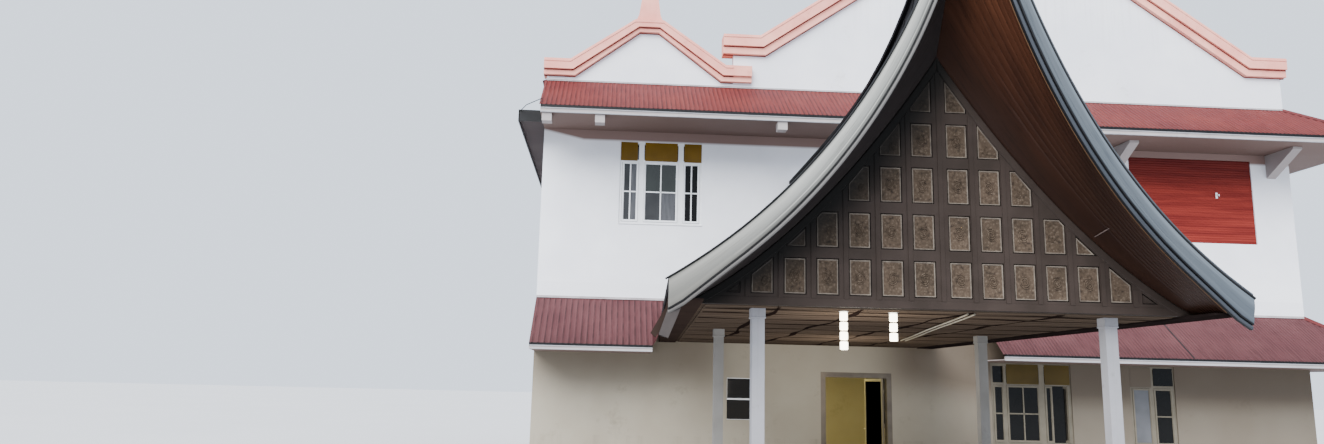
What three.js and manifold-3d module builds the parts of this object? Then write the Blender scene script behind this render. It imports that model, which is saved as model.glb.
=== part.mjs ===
// A two-storey hall with a boat-roofed entrance porch. Millimetres, Z up.
// X runs along the front wall, +Y runs into the building, the porch stands on the -Y side.
// The origin is the foot of the front wall's middle plane, on the axis of the porch.
import * as THREE from 'three';
import { mergeVertices } from 'three/addons/utils/BufferGeometryUtils.js';
import Module from 'manifold-3d';

const wasm = await Module();
wasm.setup();

// Fitting gap that inserted pieces keep to their seats
const GAP = 0.3;
// Lap of bodies that grow together, and how far a cutting body runs past the faces it cuts
const LAP = 1;
const PAST = 5;

// Main block
const WALL = 200;
const FRONT = -WALL / 2;
const BACK = 9100;
const LEFT = -5810;
const RIGHT = 11890;
const GROUND_FLOOR = 100;
const STOREY_SPLIT = 4100;
const SLAB = 150;
const WALL_TOP = 8600;
const ROOF_DECK = WALL_TOP + SLAB;

// Doorway in the front wall, with a single leaf that stands open into the hall
const DOOR = { left: 527, right: 2123, top: 2257, jamb: 111, sill: GROUND_FLOOR };
const LEAF = { thick: 40, clear: 5, stile: 60, floorGap: 10, pinOut: 12, pinRadius: 6, hingePlate: 40 };
const HINGE_LEVELS = [350, 1100, 1850];
const HINGE_HALF = 45;

// Windows and the clad panel: left, right, bottom, top
const UPPER_WINDOW = { left: -4059, right: -2176, bottom: 5453, top: 7372 };
const CLAD_PANEL = { left: 7934, right: 10932, bottom: 5440, top: 7450 };
const PORCH_WINDOW = { left: -1560, right: -900, bottom: 1180, top: 2080 };
const HALL_WINDOW = { left: 4386, right: 6234, bottom: 760, top: 2540 };
const SIDE_ROOM_WINDOW = { left: 7600, right: 8650, bottom: 760, top: 2540 };
const UPPER_POSTS = [[-3629, -3509], [-2726, -2606]];
const HALL_POSTS = [[4690, 4750], [5505, 5625]];
const SIDE_ROOM_POST = [8090, 8160];
const TRANSOM_DROP = 450;
const FRAME_BAR = 55;
const FRAME_DEPTH = 60;
const FRAME_INSET = 30;
const GLASS = 8;
// Plain windows of the right and back walls: middles along the wall, and levels by storey
const PLAIN_HOLE = { width: 1500, lower: [900, 2400], upper: [5453, 7372] };
const RIGHT_WALL_WINDOWS = [2600, 6400];
const BACK_WALL_WINDOWS = [-3400, 600, 5000, 9200];
const PLAIN_GLASS_LAP = 60;

// Awnings
const AWNING_REACH = 1300;
const SHEET = 40;
const FASCIA = 28;
const UPPER_AWNING = { top: 8750, edge: 7770, soffit: 7600 };
const LOWER_AWNING = { top: 3750, edge: 2700, soffit: 2565 };
const LOWER_LEFT_END = -3280;
const LOWER_RIGHT_START = 4150;
const OUTRIGGERS = { half: 105, drop: 185, long: 240, at: [LEFT + 140, -4530, -560] };
const CORBELS = { half: 110, nose: 60, drop: 560, reach: 900, at: [7560, 11420] };
const GUTTER = { out: 510, front: -700, bottom: 7620, top: 7800 };

// Gable parapets and their copings
const SMALL_GABLE = {
  axis: -3470, wallLeft: LEFT, wallRight: -1480, end: 2410,
  layers: [
    { knee: 1800, kneeLevel: 9245, flat: 330, slope: 0.70 },
    { knee: 1740, kneeLevel: 9000, flat: 240, slope: 0.735 },
    { knee: 1695, kneeLevel: 8870, flat: 220, slope: 0.763 },
  ],
};
const LARGE_GABLE = {
  axis: 5130, wallLeft: -1480, wallRight: RIGHT, end: 6860,
  layers: [
    { knee: 5987, kneeLevel: 10015, flat: 330, slope: 0.69 },
    { knee: 5920, kneeLevel: 9740, flat: 260, slope: 0.69 },
    { knee: 5860, kneeLevel: 9560, flat: 230, slope: 0.69 },
  ],
};
const COPING_OUT = 160;
const COPING_STEP = 60;
const FINIAL = {
  footHalf: 330, sunk: 40, half: 250, footHeight: 160,
  neckHalf: 170, neckHeight: 720, capHalf: 240, capHeight: 90,
};

// Sheet roofs behind the parapets, seated on the deck
const ROOF_PLATE = 70;
const ROOF_PLATE_AT_RIDGE = 91;
const EAVE_SEAT = 200;
const SMALL_ROOF = { ridge: 9830, left: -5900, right: -1320 };
const LARGE_ROOF = { ridge: 13150, left: -1180, right: 11960 };

// Porch: ceiling, columns and gable
// The ceiling starts at this level at the wall and climbs towards the front
const CEILING = 2850;
const CEILING_RISE = 75;
const CEILING_THICK = 40;
const COLUMN_SPACING = 4600;
const COLUMN = 160;
const COLUMN_CAP = { half: 90, height: 132 };
const FRONT_COLUMN_Y = -8600;
const BACK_COLUMN_Y = -4566;
const GABLE_FACE = -8960;
const GABLE_THICK = 30;
const GABLE_HALF = 3255;
const GABLE_CURVE = { apex: 6240, fall: 1.5015, bow: 0.0001481 };
const GABLE_EDGE = 150;
const PANEL = { inner: 88, width: 286, pitch: 414, count: 7, least: 60 };
const PANEL_ROWS = [[3063, 3528], [3664, 4127], [4270, 4741], [4879, 5334], [5480, 5990]];
// Pendant lamps of short tubes: place across the porch and number of tubes
const LAMP = { y: -8560, half: 60, tube: 90, gap: 35, stem: 14 };
const LAMPS = [['left', -1175, 4], ['right', -525, 3]];

// Porch roof: its front edge is a curve, its plan narrows towards the wall, its ridge sweeps up to the tip
const EAVE_HALF = 3510;
const EAVE_LEVEL = 3150;
const TIP_LEVEL = 8600;
const RIDGE_AT_WALL = 6500;
const RIDGE_SWEEP = 5;
const PLAN_TAPER = 0.12;
const SKIN = 50;
const BOARD = { wideAtEave: 265, taper: 0.028, flare: 55, flareTop: 3600, thick: 45 };
const TRIM = { wide: 50, thick: 45, back: 30 };
const LINING = 24;
const LINING_SPAN = { low: 3222, high: 8350, lap: 10, crowd: 0.9 };
const RIDGE_BEAM = { half: 70, deep: 160, capHalf: 170, capThick: 60 };
const BAND_LAP = 15;
const BELOW_EAVE = [2500, 2700, 2900, 3050];
// Side eave: a soffit strip beside the ceiling and a fascia up to the roof
const EAVE_BOX = {
  front: -9555, ceilingHalf: 3090, half: 3500, soffitThick: 28, top: 3095, topHalf: 3475, thick: 35,
};
// Hanging board at the front end of the left eave, in X and Z
const EAVE_TAIL = [[3470, 2920], [3700, 2510], [3640, 2460], [3440, 2760]];
const EAVE_TAIL_THICK = 60;
// Lower end of the left trim, in X and Z
const TRIM_TAIL = [[3400, 2790], [3510, 2785], [3610, 2490], [3535, 2460], [3440, 2700]];
const TRIM_TAIL_Y = [-9611, -9566];
// Steps along the ridge and up the slope
const ALONG = 16;
const UP = 22;
const CROWD_TO_TIP = 1.4;

const paint = {
  wall: new THREE.MeshStandardMaterial({ color: 0xd7d8de, roughness: 0.85 }),
  slab: new THREE.MeshStandardMaterial({ color: 0xb9b6ae, roughness: 0.9 }),
  coping: new THREE.MeshStandardMaterial({ color: 0xebc3b4, roughness: 0.75 }),
  redSheet: new THREE.MeshStandardMaterial({ color: 0xa54b50, roughness: 0.6, metalness: 0.3 }),
  cladding: new THREE.MeshStandardMaterial({ color: 0xaf4132, roughness: 0.6 }),
  trim: new THREE.MeshStandardMaterial({ color: 0xe2e3e6, roughness: 0.6 }),
  glass: new THREE.MeshStandardMaterial({ color: 0x20262b, roughness: 0.1 }),
  darkSheet: new THREE.MeshStandardMaterial({ color: 0x26262a, roughness: 0.5, metalness: 0.4 }),
  board: new THREE.MeshStandardMaterial({ color: 0xc3c5c4, roughness: 0.45, metalness: 0.3 }),
  brownWood: new THREE.MeshStandardMaterial({ color: 0x4a2a20, roughness: 0.4 }),
  gableWood: new THREE.MeshStandardMaterial({ color: 0x554848, roughness: 0.6 }),
  carving: new THREE.MeshStandardMaterial({ color: 0x8a7a68, roughness: 0.8 }),
  column: new THREE.MeshStandardMaterial({ color: 0xbfc1c8, roughness: 0.6 }),
  lamp: new THREE.MeshStandardMaterial({ color: 0xfff6e0, roughness: 0.3 }),
  aluminium: new THREE.MeshStandardMaterial({ color: 0x9a9c9f, roughness: 0.4, metalness: 0.8 }),
};

const house = new THREE.Group();

function place(name, geometry, material) {
  const mesh = new THREE.Mesh(geometry, material);
  mesh.name = name;
  house.add(mesh);
  return mesh;
}

// Plain box between two corners
function box(x0, x1, y0, y1, z0, z1) {
  const geometry = new THREE.BoxGeometry(x1 - x0, y1 - y0, z1 - z0);
  geometry.translate((x0 + x1) / 2, (y0 + y1) / 2, (z0 + z1) / 2);
  return geometry;
}

function outline(points) {
  return new THREE.Shape(points.map(([a, b]) => new THREE.Vector2(a, b)));
}

// Moves every vertex by a rule that keeps the faces pointing out
function remap(geometry, rule) {
  const position = geometry.attributes.position;
  for (let i = 0; i < position.count; i += 1) {
    const [x, y, z] = rule(position.getX(i), position.getY(i), position.getZ(i));
    position.setXYZ(i, x, y, z);
  }
  return geometry;
}

function extrudeFlat(shape, depth) {
  return new THREE.ExtrudeGeometry(shape, { depth, bevelEnabled: false, curveSegments: 6 });
}

// An outline in X and Z, running from y0 to y1
function plateAlongY(shape, y0, y1) {
  return remap(extrudeFlat(shape, y1 - y0), (x, y, z) => [x, y1 - z, y]);
}

// An outline in Y and Z, running from x0 to x1
function barAlongX(shape, x0, x1) {
  return remap(extrudeFlat(shape, x1 - x0), (x, y, z) => [x0 + z, x, y]);
}

function solidOf(geometry) {
  const bare = geometry.clone();
  bare.deleteAttribute('normal');
  bare.deleteAttribute('uv');
  const merged = mergeVertices(bare, 1e-4);
  const mesh = new wasm.Mesh({
    numProp: 3,
    vertProperties: new Float32Array(merged.attributes.position.array),
    triVerts: new Uint32Array(merged.index.array),
  });
  return new wasm.Manifold(mesh);
}

function geometryOf(solid) {
  const mesh = solid.getMesh();
  const geometry = new THREE.BufferGeometry();
  geometry.setAttribute('position', new THREE.BufferAttribute(new Float32Array(mesh.vertProperties), 3));
  geometry.setIndex(new THREE.BufferAttribute(new Uint32Array(mesh.triVerts), 1));
  geometry.computeVertexNormals();
  return geometry;
}

function cut(geometry, tools) {
  return geometryOf(tools.reduce((left, tool) => left.subtract(solidOf(tool)), solidOf(geometry)));
}

function join(geometries) {
  const [first, ...rest] = geometries;
  return geometryOf(rest.reduce((sum, next) => sum.add(solidOf(next)), solidOf(first)));
}

function keepWithin(geometry, tool) {
  return geometryOf(solidOf(geometry).intersect(solidOf(tool)));
}

// Body from points and triangles, with its faces turned outwards
function bodyFrom(points, triangles) {
  let volume = 0;
  for (let k = 0; k < triangles.length; k += 3) {
    const [a, b, c] = [points[triangles[k]], points[triangles[k + 1]], points[triangles[k + 2]]];
    volume += a.dot(b.clone().cross(c));
  }
  if (volume < 0) triangles.reverse();
  const geometry = new THREE.BufferGeometry();
  geometry.setAttribute('position', new THREE.Float32BufferAttribute(points.flatMap((p) => p.toArray()), 3));
  geometry.setIndex(triangles);
  geometry.computeVertexNormals();
  return geometry;
}

// Closed body between two faces given as equal grids of points
function shell(outer, inner) {
  const rows = outer.length;
  const columns = outer[0].length;
  const at = (face, i, j) => face * rows * columns + i * columns + j;
  const triangles = [];
  const quad = (a, b, c, d) => triangles.push(a, b, c, a, c, d);
  for (let i = 0; i < rows - 1; i += 1) {
    for (let j = 0; j < columns - 1; j += 1) {
      quad(at(0, i, j), at(0, i + 1, j), at(0, i + 1, j + 1), at(0, i, j + 1));
      quad(at(1, i, j), at(1, i, j + 1), at(1, i + 1, j + 1), at(1, i + 1, j));
    }
  }
  const [lastRow, lastColumn] = [rows - 1, columns - 1];
  for (let i = 0; i < lastRow; i += 1) {
    quad(at(0, i, 0), at(1, i, 0), at(1, i + 1, 0), at(0, i + 1, 0));
    quad(at(0, i + 1, lastColumn), at(1, i + 1, lastColumn), at(1, i, lastColumn), at(0, i, lastColumn));
  }
  for (let j = 0; j < lastColumn; j += 1) {
    quad(at(0, 0, j + 1), at(1, 0, j + 1), at(1, 0, j), at(0, 0, j));
    quad(at(0, lastRow, j), at(1, lastRow, j), at(1, lastRow, j + 1), at(0, lastRow, j + 1));
  }
  return bodyFrom([...outer.flat(), ...inner.flat()], triangles);
}

// Closed body through a row of rings that share one flat profile; ringAt places the profile's points
function sweep(profile, stations, ringAt) {
  const corners = THREE.ShapeUtils.isClockWise(profile.map(([x, y]) => ({ x, y })))
    ? [...profile].reverse() : profile;
  const rings = stations.map((station) => corners.map(([a, b]) => ringAt(station, a, b)));
  const count = corners.length;
  const triangles = [];
  for (let j = 0; j < rings.length - 1; j += 1) {
    for (let i = 0; i < count; i += 1) {
      const next = (i + 1) % count;
      const [a, b, c, d] = [j * count + i, j * count + next, (j + 1) * count + next, (j + 1) * count + i];
      triangles.push(a, b, c, a, c, d);
    }
  }
  const last = (rings.length - 1) * count;
  const flat = corners.map(([a, b]) => new THREE.Vector2(a, b));
  for (const [a, b, c] of THREE.ShapeUtils.triangulateShape(flat, [])) {
    triangles.push(c, b, a, last + a, last + b, last + c);
  }
  return bodyFrom(rings.flat(), triangles);
}

// Walls, floors and the deck under the roofs
function holeThroughFront(hole) {
  return box(hole.left, hole.right, FRONT - WALL, FRONT + 2 * WALL, hole.bottom, hole.top);
}

// Window holes of one storey in the right and back walls
function holesInRightWall(level) {
  const half = PLAIN_HOLE.width / 2;
  return RIGHT_WALL_WINDOWS.map((y) => box(RIGHT - 2 * WALL, RIGHT + WALL, y - half, y + half, ...level));
}

function holesInBackWall(level) {
  const half = PLAIN_HOLE.width / 2;
  return BACK_WALL_WINDOWS.map((x) => box(x - half, x + half, BACK - 2 * WALL, BACK + WALL, ...level));
}

function buildBlock() {
  const inner = FRONT + WALL;
  const innerBack = BACK - WALL;
  place('ground_floor', box(LEFT + WALL, RIGHT - WALL, inner, innerBack, 0, GROUND_FLOOR), paint.slab);
  place('upper_floor',
    box(LEFT + WALL, RIGHT - WALL, inner, innerBack, STOREY_SPLIT - SLAB, STOREY_SPLIT), paint.slab);
  place('roof_deck', box(LEFT, RIGHT, FRONT, BACK, WALL_TOP, ROOF_DECK), paint.slab);

  place('front_wall_left', cut(box(LEFT, DOOR.left, FRONT, inner, 0, STOREY_SPLIT),
    [holeThroughFront(PORCH_WINDOW)]), paint.wall);
  place('front_wall_over_door',
    box(DOOR.left, DOOR.right, FRONT, inner, DOOR.top, STOREY_SPLIT), paint.wall);
  place('front_wall_right', cut(box(DOOR.right, RIGHT, FRONT, inner, 0, STOREY_SPLIT),
    [holeThroughFront(HALL_WINDOW), holeThroughFront(SIDE_ROOM_WINDOW)]), paint.wall);
  place('front_wall_upper', cut(box(LEFT, RIGHT, FRONT, inner, STOREY_SPLIT, WALL_TOP),
    [holeThroughFront(UPPER_WINDOW), holeThroughFront(CLAD_PANEL)]), paint.wall);

  place('left_wall', box(LEFT, LEFT + WALL, inner, innerBack, 0, WALL_TOP), paint.wall);
  place('right_wall', cut(box(RIGHT - WALL, RIGHT, inner, innerBack, 0, WALL_TOP),
    [...holesInRightWall(PLAIN_HOLE.lower), ...holesInRightWall(PLAIN_HOLE.upper)]), paint.wall);
  place('back_wall', cut(box(LEFT, RIGHT, innerBack, BACK, 0, WALL_TOP),
    [...holesInBackWall(PLAIN_HOLE.lower), ...holesInBackWall(PLAIN_HOLE.upper)]), paint.wall);
}

// One long sheet of glass behind a storey's row of windows, inside the wall
function buildPlainGlass() {
  const half = PLAIN_HOLE.width / 2 + PLAIN_GLASS_LAP;
  const rightInner = RIGHT - WALL - GAP;
  const backInner = BACK - WALL - GAP;
  for (const [storey, level] of [['lower', PLAIN_HOLE.lower], ['upper', PLAIN_HOLE.upper]]) {
    place(`right_windows_${storey}`, box(rightInner - GLASS, rightInner,
      RIGHT_WALL_WINDOWS[0] - half, RIGHT_WALL_WINDOWS.at(-1) + half,
      level[0] - PLAIN_GLASS_LAP, level[1] + PLAIN_GLASS_LAP), paint.glass);
    place(`back_windows_${storey}`, box(BACK_WALL_WINDOWS[0] - half, BACK_WALL_WINDOWS.at(-1) + half,
      backInner - GLASS, backInner, level[0] - PLAIN_GLASS_LAP, level[1] + PLAIN_GLASS_LAP), paint.glass);
  }
}

// Window frame with upright bars and one cross bar, set in the front wall
function windowFrame(hole, uprights, crossLevel) {
  const [x0, x1] = [hole.left + GAP, hole.right - GAP];
  const [z0, z1] = [hole.bottom + GAP, hole.top - GAP];
  const [y0, y1] = [FRONT + FRAME_INSET, FRONT + FRAME_INSET + FRAME_DEPTH];
  const body = box(x0, x1, y0, y1, z0, z1);
  const edges = [x0 + FRAME_BAR, ...uprights.flatMap(([a, b]) => [a, b]), x1 - FRAME_BAR];
  const panes = [];
  for (let i = 0; i < edges.length; i += 2) {
    panes.push(box(edges[i], edges[i + 1], y0 - PAST, y1 + PAST, z0 + FRAME_BAR, crossLevel - FRAME_BAR / 2));
    panes.push(box(edges[i], edges[i + 1], y0 - PAST, y1 + PAST, crossLevel + FRAME_BAR / 2, z1 - FRAME_BAR));
  }
  return cut(body, panes);
}

function windowGlass(hole) {
  const y0 = FRONT + FRAME_INSET + FRAME_DEPTH + GAP;
  return box(hole.left + GAP, hole.right - GAP, y0, y0 + GLASS, hole.bottom + GAP, hole.top - GAP);
}

function buildWindows() {
  const transom = (hole) => hole.top - TRANSOM_DROP;
  const middle = PORCH_WINDOW.bottom + (PORCH_WINDOW.top - PORCH_WINDOW.bottom) / 2;
  place('upper_window_frame', windowFrame(UPPER_WINDOW, UPPER_POSTS, transom(UPPER_WINDOW)), paint.trim);
  place('upper_window_glass', windowGlass(UPPER_WINDOW), paint.glass);
  place('porch_window_frame', windowFrame(PORCH_WINDOW, [], middle), paint.trim);
  place('porch_window_glass', windowGlass(PORCH_WINDOW), paint.glass);
  place('hall_window_frame', windowFrame(HALL_WINDOW, HALL_POSTS, transom(HALL_WINDOW)), paint.trim);
  place('hall_window_glass', windowGlass(HALL_WINDOW), paint.glass);
  place('side_room_window_frame',
    windowFrame(SIDE_ROOM_WINDOW, [SIDE_ROOM_POST], transom(SIDE_ROOM_WINDOW)), paint.trim);
  place('side_room_window_glass', windowGlass(SIDE_ROOM_WINDOW), paint.glass);
  place('clad_panel', box(CLAD_PANEL.left + GAP, CLAD_PANEL.right - GAP, FRONT + FRAME_INSET,
    FRONT + FRAME_INSET + FRAME_DEPTH, CLAD_PANEL.bottom + GAP, CLAD_PANEL.top - GAP), paint.cladding);
}

// Door frame ring and the leaf, standing open at a right angle into the hall
function buildDoor() {
  const inner = FRONT + WALL;
  const clearLeft = DOOR.left + DOOR.jamb;
  const clearRight = DOOR.right - DOOR.jamb;
  const clearTop = DOOR.top - DOOR.jamb;
  const pinX = clearRight - LEAF.clear / 2;
  const pinY = inner + LEAF.pinOut;
  const pin = (z0, z1) => {
    const cylinder = new THREE.CylinderGeometry(LEAF.pinRadius, LEAF.pinRadius, z1 - z0, 12);
    return remap(cylinder, (x, y, z) => [pinX + x, pinY - z, (z0 + z1) / 2 + y]);
  };
  const ring = cut(box(DOOR.left + GAP, DOOR.right - GAP, FRONT, inner, 0, DOOR.top - GAP),
    [box(clearLeft, clearRight, FRONT - PAST, inner + PAST, DOOR.sill, clearTop)]);
  const frameKnuckles = HINGE_LEVELS.flatMap((z) => [
    pin(z - HINGE_HALF, z - GAP),
    box(pinX, pinX + LEAF.hingePlate, inner - LAP, inner + LEAF.pinOut - LEAF.pinRadius + LAP,
      z - HINGE_HALF, z - GAP),
  ]);
  place('door_frame', join([ring, ...frameKnuckles]), paint.aluminium);

  const width = clearRight - clearLeft - 2 * LEAF.clear;
  const leafX1 = pinX - LEAF.pinOut + LEAF.clear;
  const leafY0 = pinY + LEAF.clear / 2;
  const [z0, z1] = [DOOR.sill + LEAF.floorGap, clearTop - LEAF.clear];
  const slab = box(leafX1 - LEAF.thick, leafX1, leafY0, leafY0 + width, z0, z1);
  const leafKnuckles = HINGE_LEVELS.flatMap((z) => [
    pin(z, z + HINGE_HALF),
    box(leafX1 - LEAF.thick / 2, pinX, leafY0 - 2 * LAP, leafY0 + LAP, z, z + HINGE_HALF),
  ]);
  const rebate = (LEAF.thick - GLASS) / 2;
  const sunk = [[leafX1 - LEAF.thick - PAST, leafX1 - LEAF.thick + rebate], [leafX1 - rebate, leafX1 + PAST]];
  place('door_leaf', cut(join([slab, ...leafKnuckles]), sunk.map(([x0, x1]) => box(x0, x1,
    leafY0 + LEAF.stile, leafY0 + width - LEAF.stile, z0 + LEAF.stile, z1 - LEAF.stile))), paint.trim);
}

// Awnings along the front (out = towards -Y) and along the right side (out = towards +X)
const alongFront = (x, out, level) => new THREE.Vector3(x, FRONT - out, level);
const alongRight = (y, out, level) => new THREE.Vector3(RIGHT + out, y, level);

function sheetProfile(awning) {
  return [[0, awning.top], [AWNING_REACH, awning.edge], [AWNING_REACH, awning.edge - SHEET],
    [0, awning.top - SHEET]];
}

// Fascia board with the flat soffit behind it, back to the wall
function eaveProfile(awning) {
  const fasciaTop = awning.edge - SHEET - GAP;
  return [[0, awning.soffit], [AWNING_REACH, awning.soffit], [AWNING_REACH, fasciaTop],
    [AWNING_REACH - FASCIA, fasciaTop], [AWNING_REACH - FASCIA, awning.soffit + FASCIA],
    [0, awning.soffit + FASCIA]];
}

function buildAwnings() {
  const straight = (value) => () => value;
  const cornerX = (out) => RIGHT + out;
  const cornerY = (out) => FRONT - out;
  const around = [alongRight, cornerY, straight(BACK)];
  const awnings = [
    ['lower_awning_left', LOWER_AWNING, [[alongFront, straight(LEFT), straight(LOWER_LEFT_END)]]],
    ['lower_awning_right', LOWER_AWNING, [[alongFront, straight(LOWER_RIGHT_START), cornerX], around]],
    ['upper_awning', UPPER_AWNING, [[alongFront, straight(LEFT), cornerX], around]],
  ];
  for (const [name, awning, runs] of awnings) {
    const along = (profile) => runs.map(([pointAt, start, end]) =>
      sweep(profile, [start, end], (station, out, level) => pointAt(station(out), out, level)));
    const brackets = name === 'upper_awning' ? awningBrackets() : [];
    place(`${name}_roof`, join(along(sheetProfile(awning))), paint.redSheet);
    place(`${name}_eave`, join([...along(eaveProfile(awning)), ...brackets]), paint.trim);
  }
  place('left_gutter_shelf', box(LEFT - GUTTER.out, LEFT, GUTTER.front, BACK, GUTTER.bottom, GUTTER.top),
    paint.slab);
}

// Outrigger ends under the left part of the upper soffit, wall corbels under the right part
function awningBrackets() {
  const soffit = UPPER_AWNING.soffit;
  const nose = FRONT - AWNING_REACH + FASCIA;
  const beams = OUTRIGGERS.at.map((x) => box(x - OUTRIGGERS.half, x + OUTRIGGERS.half,
    nose, nose + OUTRIGGERS.long, soffit - OUTRIGGERS.drop, soffit + LAP));
  const corbel = outline([[FRONT, soffit + LAP], [FRONT - CORBELS.reach, soffit + LAP],
    [FRONT - CORBELS.reach, soffit - CORBELS.nose], [FRONT, soffit - CORBELS.drop]]);
  return [...beams, ...CORBELS.at.map((x) => barAlongX(corbel, x - CORBELS.half, x + CORBELS.half))];
}

// Gable parapets: outline of one layer from end to end, as offsets from the gable's axis
function layerLine(gable, layer) {
  const apexLevel = layer.kneeLevel + (layer.knee - layer.flat) * layer.slope;
  const { axis, end } = gable;
  return [[axis - end, layer.kneeLevel], [axis - layer.knee, layer.kneeLevel],
    [axis - layer.flat, apexLevel], [axis + layer.flat, apexLevel],
    [axis + layer.knee, layer.kneeLevel], [axis + end, layer.kneeLevel]];
}

function bandBetween(gable, upper, lower) {
  const top = layerLine(gable, upper);
  const bottom = layerLine(gable, lower);
  return outline([...top, ...bottom.reverse()]);
}

function gableWall(gable, y0, y1) {
  const line = layerLine(gable, gable.layers[2]).slice(1, -1);
  const level = gable.layers[2].kneeLevel;
  return plateAlongY(outline([[gable.wallLeft, ROOF_DECK], [gable.wallLeft, level - GAP],
    ...line.map(([x, z]) => [x, z - GAP]), [gable.wallRight, level - GAP], [gable.wallRight, ROOF_DECK]]),
  y0, y1);
}

function finial(gable, yMid) {
  const layer = gable.layers[0];
  const base = layer.kneeLevel + (layer.knee - layer.flat) * layer.slope;
  const top = base + FINIAL.neckHeight;
  const right = [[FINIAL.footHalf, base - FINIAL.sunk], [FINIAL.half, base + FINIAL.footHeight],
    [FINIAL.neckHalf, top]];
  const neck = outline([...right.map(([x, z]) => [gable.axis + x, z]),
    ...right.reverse().map(([x, z]) => [gable.axis - x, z])]);
  return [
    plateAlongY(neck, yMid - FINIAL.neckHalf, yMid + FINIAL.neckHalf),
    box(gable.axis - FINIAL.capHalf, gable.axis + FINIAL.capHalf, yMid - FINIAL.capHalf,
      yMid + FINIAL.capHalf, top - LAP, top + FINIAL.capHeight),
  ];
}

// Two stepped layers over the wall's top, the upper one standing out further
function coping(gable, y0, y1, out) {
  const [front, back] = out < 0 ? [y0 - COPING_OUT, y1 + COPING_STEP] : [y0 - COPING_STEP, y1 + COPING_OUT];
  const inFront = out < 0 ? front + COPING_STEP : front;
  const atBack = out < 0 ? back : back - COPING_STEP;
  return [
    plateAlongY(bandBetween(gable, gable.layers[0], gable.layers[1]), front, back),
    plateAlongY(bandBetween(gable, { ...gable.layers[1], kneeLevel: gable.layers[1].kneeLevel + LAP },
      gable.layers[2]), inFront, atBack),
    ...finial(gable, (y0 + y1) / 2),
  ];
}

function buildGables() {
  const inner = FRONT + WALL;
  const sides = [['front', FRONT, inner, -1], ['back', BACK - WALL, BACK, 1]];
  for (const [side, y0, y1, out] of sides) {
    const largeWallBox = box(LARGE_GABLE.wallLeft - GAP, LARGE_GABLE.axis, y0 - GAP, y1 + GAP,
      ROOF_DECK, LARGE_GABLE.layers[0].kneeLevel);
    const beyondLarge = box(LARGE_GABLE.wallLeft - GAP, LARGE_GABLE.axis,
      out < 0 ? y1 : y0 - WALL, out < 0 ? y1 + WALL : y0, ROOF_DECK, LARGE_GABLE.layers[0].kneeLevel);
    place(`small_coping_${side}`,
      cut(join(coping(SMALL_GABLE, y0, y1, out)), [largeWallBox, beyondLarge]), paint.coping);
    place(`gable_walls_${side}`,
      join([gableWall(SMALL_GABLE, y0, y1), gableWall(LARGE_GABLE, y0, y1)]), paint.wall);
    place(`large_coping_${side}`, join(coping(LARGE_GABLE, y0, y1, out)), paint.coping);
  }
}

// Sheet roofs, each folded over its ridge
function buildRoofs() {
  const y0 = FRONT + WALL + COPING_STEP + GAP;
  const y1 = BACK - WALL - COPING_STEP - GAP;
  const roofs = [['small', SMALL_GABLE, SMALL_ROOF], ['large', LARGE_GABLE, LARGE_ROOF]];
  for (const [name, gable, roof] of roofs) {
    const folded = outline([
      [gable.axis, roof.ridge], [roof.left, ROOF_DECK + ROOF_PLATE], [roof.left, ROOF_DECK],
      [roof.left + EAVE_SEAT, ROOF_DECK], [gable.axis, roof.ridge - ROOF_PLATE_AT_RIDGE],
      [roof.right - EAVE_SEAT, ROOF_DECK], [roof.right, ROOF_DECK], [roof.right, ROOF_DECK + ROOF_PLATE],
    ]);
    place(`${name}_roof`, plateAlongY(folded, y0, y1), paint.redSheet);
  }
}

// Porch roof front edge: half-width and depth by level
function edgeHalf(level) {
  const t = (level / 1000 - 3) / 5;
  return 1000 * Math.exp(1.3288 - 2.4249 * t + 0.7971 * t ** 2 - 1.2262 * t ** 3);
}

function edgeY(level) {
  const above = level / 1000 - 3;
  return FRONT - 1000 * (9.5253 + 0.309 * above - 0.033 * above ** 2);
}

// Unit normal of the front edge in X and Z, pointing into the roof, for the right side
function edgeInward(level) {
  const step = 5;
  const run = edgeHalf(level + step) - edgeHalf(level - step);
  const length = Math.hypot(run, 2 * step);
  return { x: -2 * step / length, z: run / length };
}

function ridgeLevel(v) {
  return RIDGE_AT_WALL + (TIP_LEVEL - RIDGE_AT_WALL) * v ** RIDGE_SWEEP;
}

// Width of the porch roof's plan at a share of the way out from the wall
function planScale(v) {
  return 1 - PLAN_TAPER * (1 - v);
}

const LEVELS = Array.from({ length: UP + 1 }, (_, i) => EAVE_LEVEL + (TIP_LEVEL - EAVE_LEVEL) * i / UP);
const STATIONS = Array.from({ length: ALONG + 1 }, (_, j) => 1 - (1 - j / ALONG) ** CROWD_TO_TIP);

// Point on the roof's outer face, moved in by a depth along the section's normal
function roofPoint(sign, level, v, depth) {
  const share = (level - EAVE_LEVEL) / (TIP_LEVEL - EAVE_LEVEL);
  const squash = (ridgeLevel(v) - EAVE_LEVEL) / (TIP_LEVEL - EAVE_LEVEL);
  const normal = edgeInward(level);
  const length = Math.hypot(normal.x * squash, normal.z);
  const inX = normal.x * squash / length;
  const inZ = normal.z / length;
  const y = FRONT + v * (edgeY(level) + BOARD.thick + GAP - FRONT);
  const half = Math.max(edgeHalf(level) * planScale(v) + inX * depth, RIDGE_BEAM.half + GAP);
  return new THREE.Vector3(sign * half, y, EAVE_LEVEL + share * (ridgeLevel(v) - EAVE_LEVEL) + inZ * depth);
}

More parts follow.
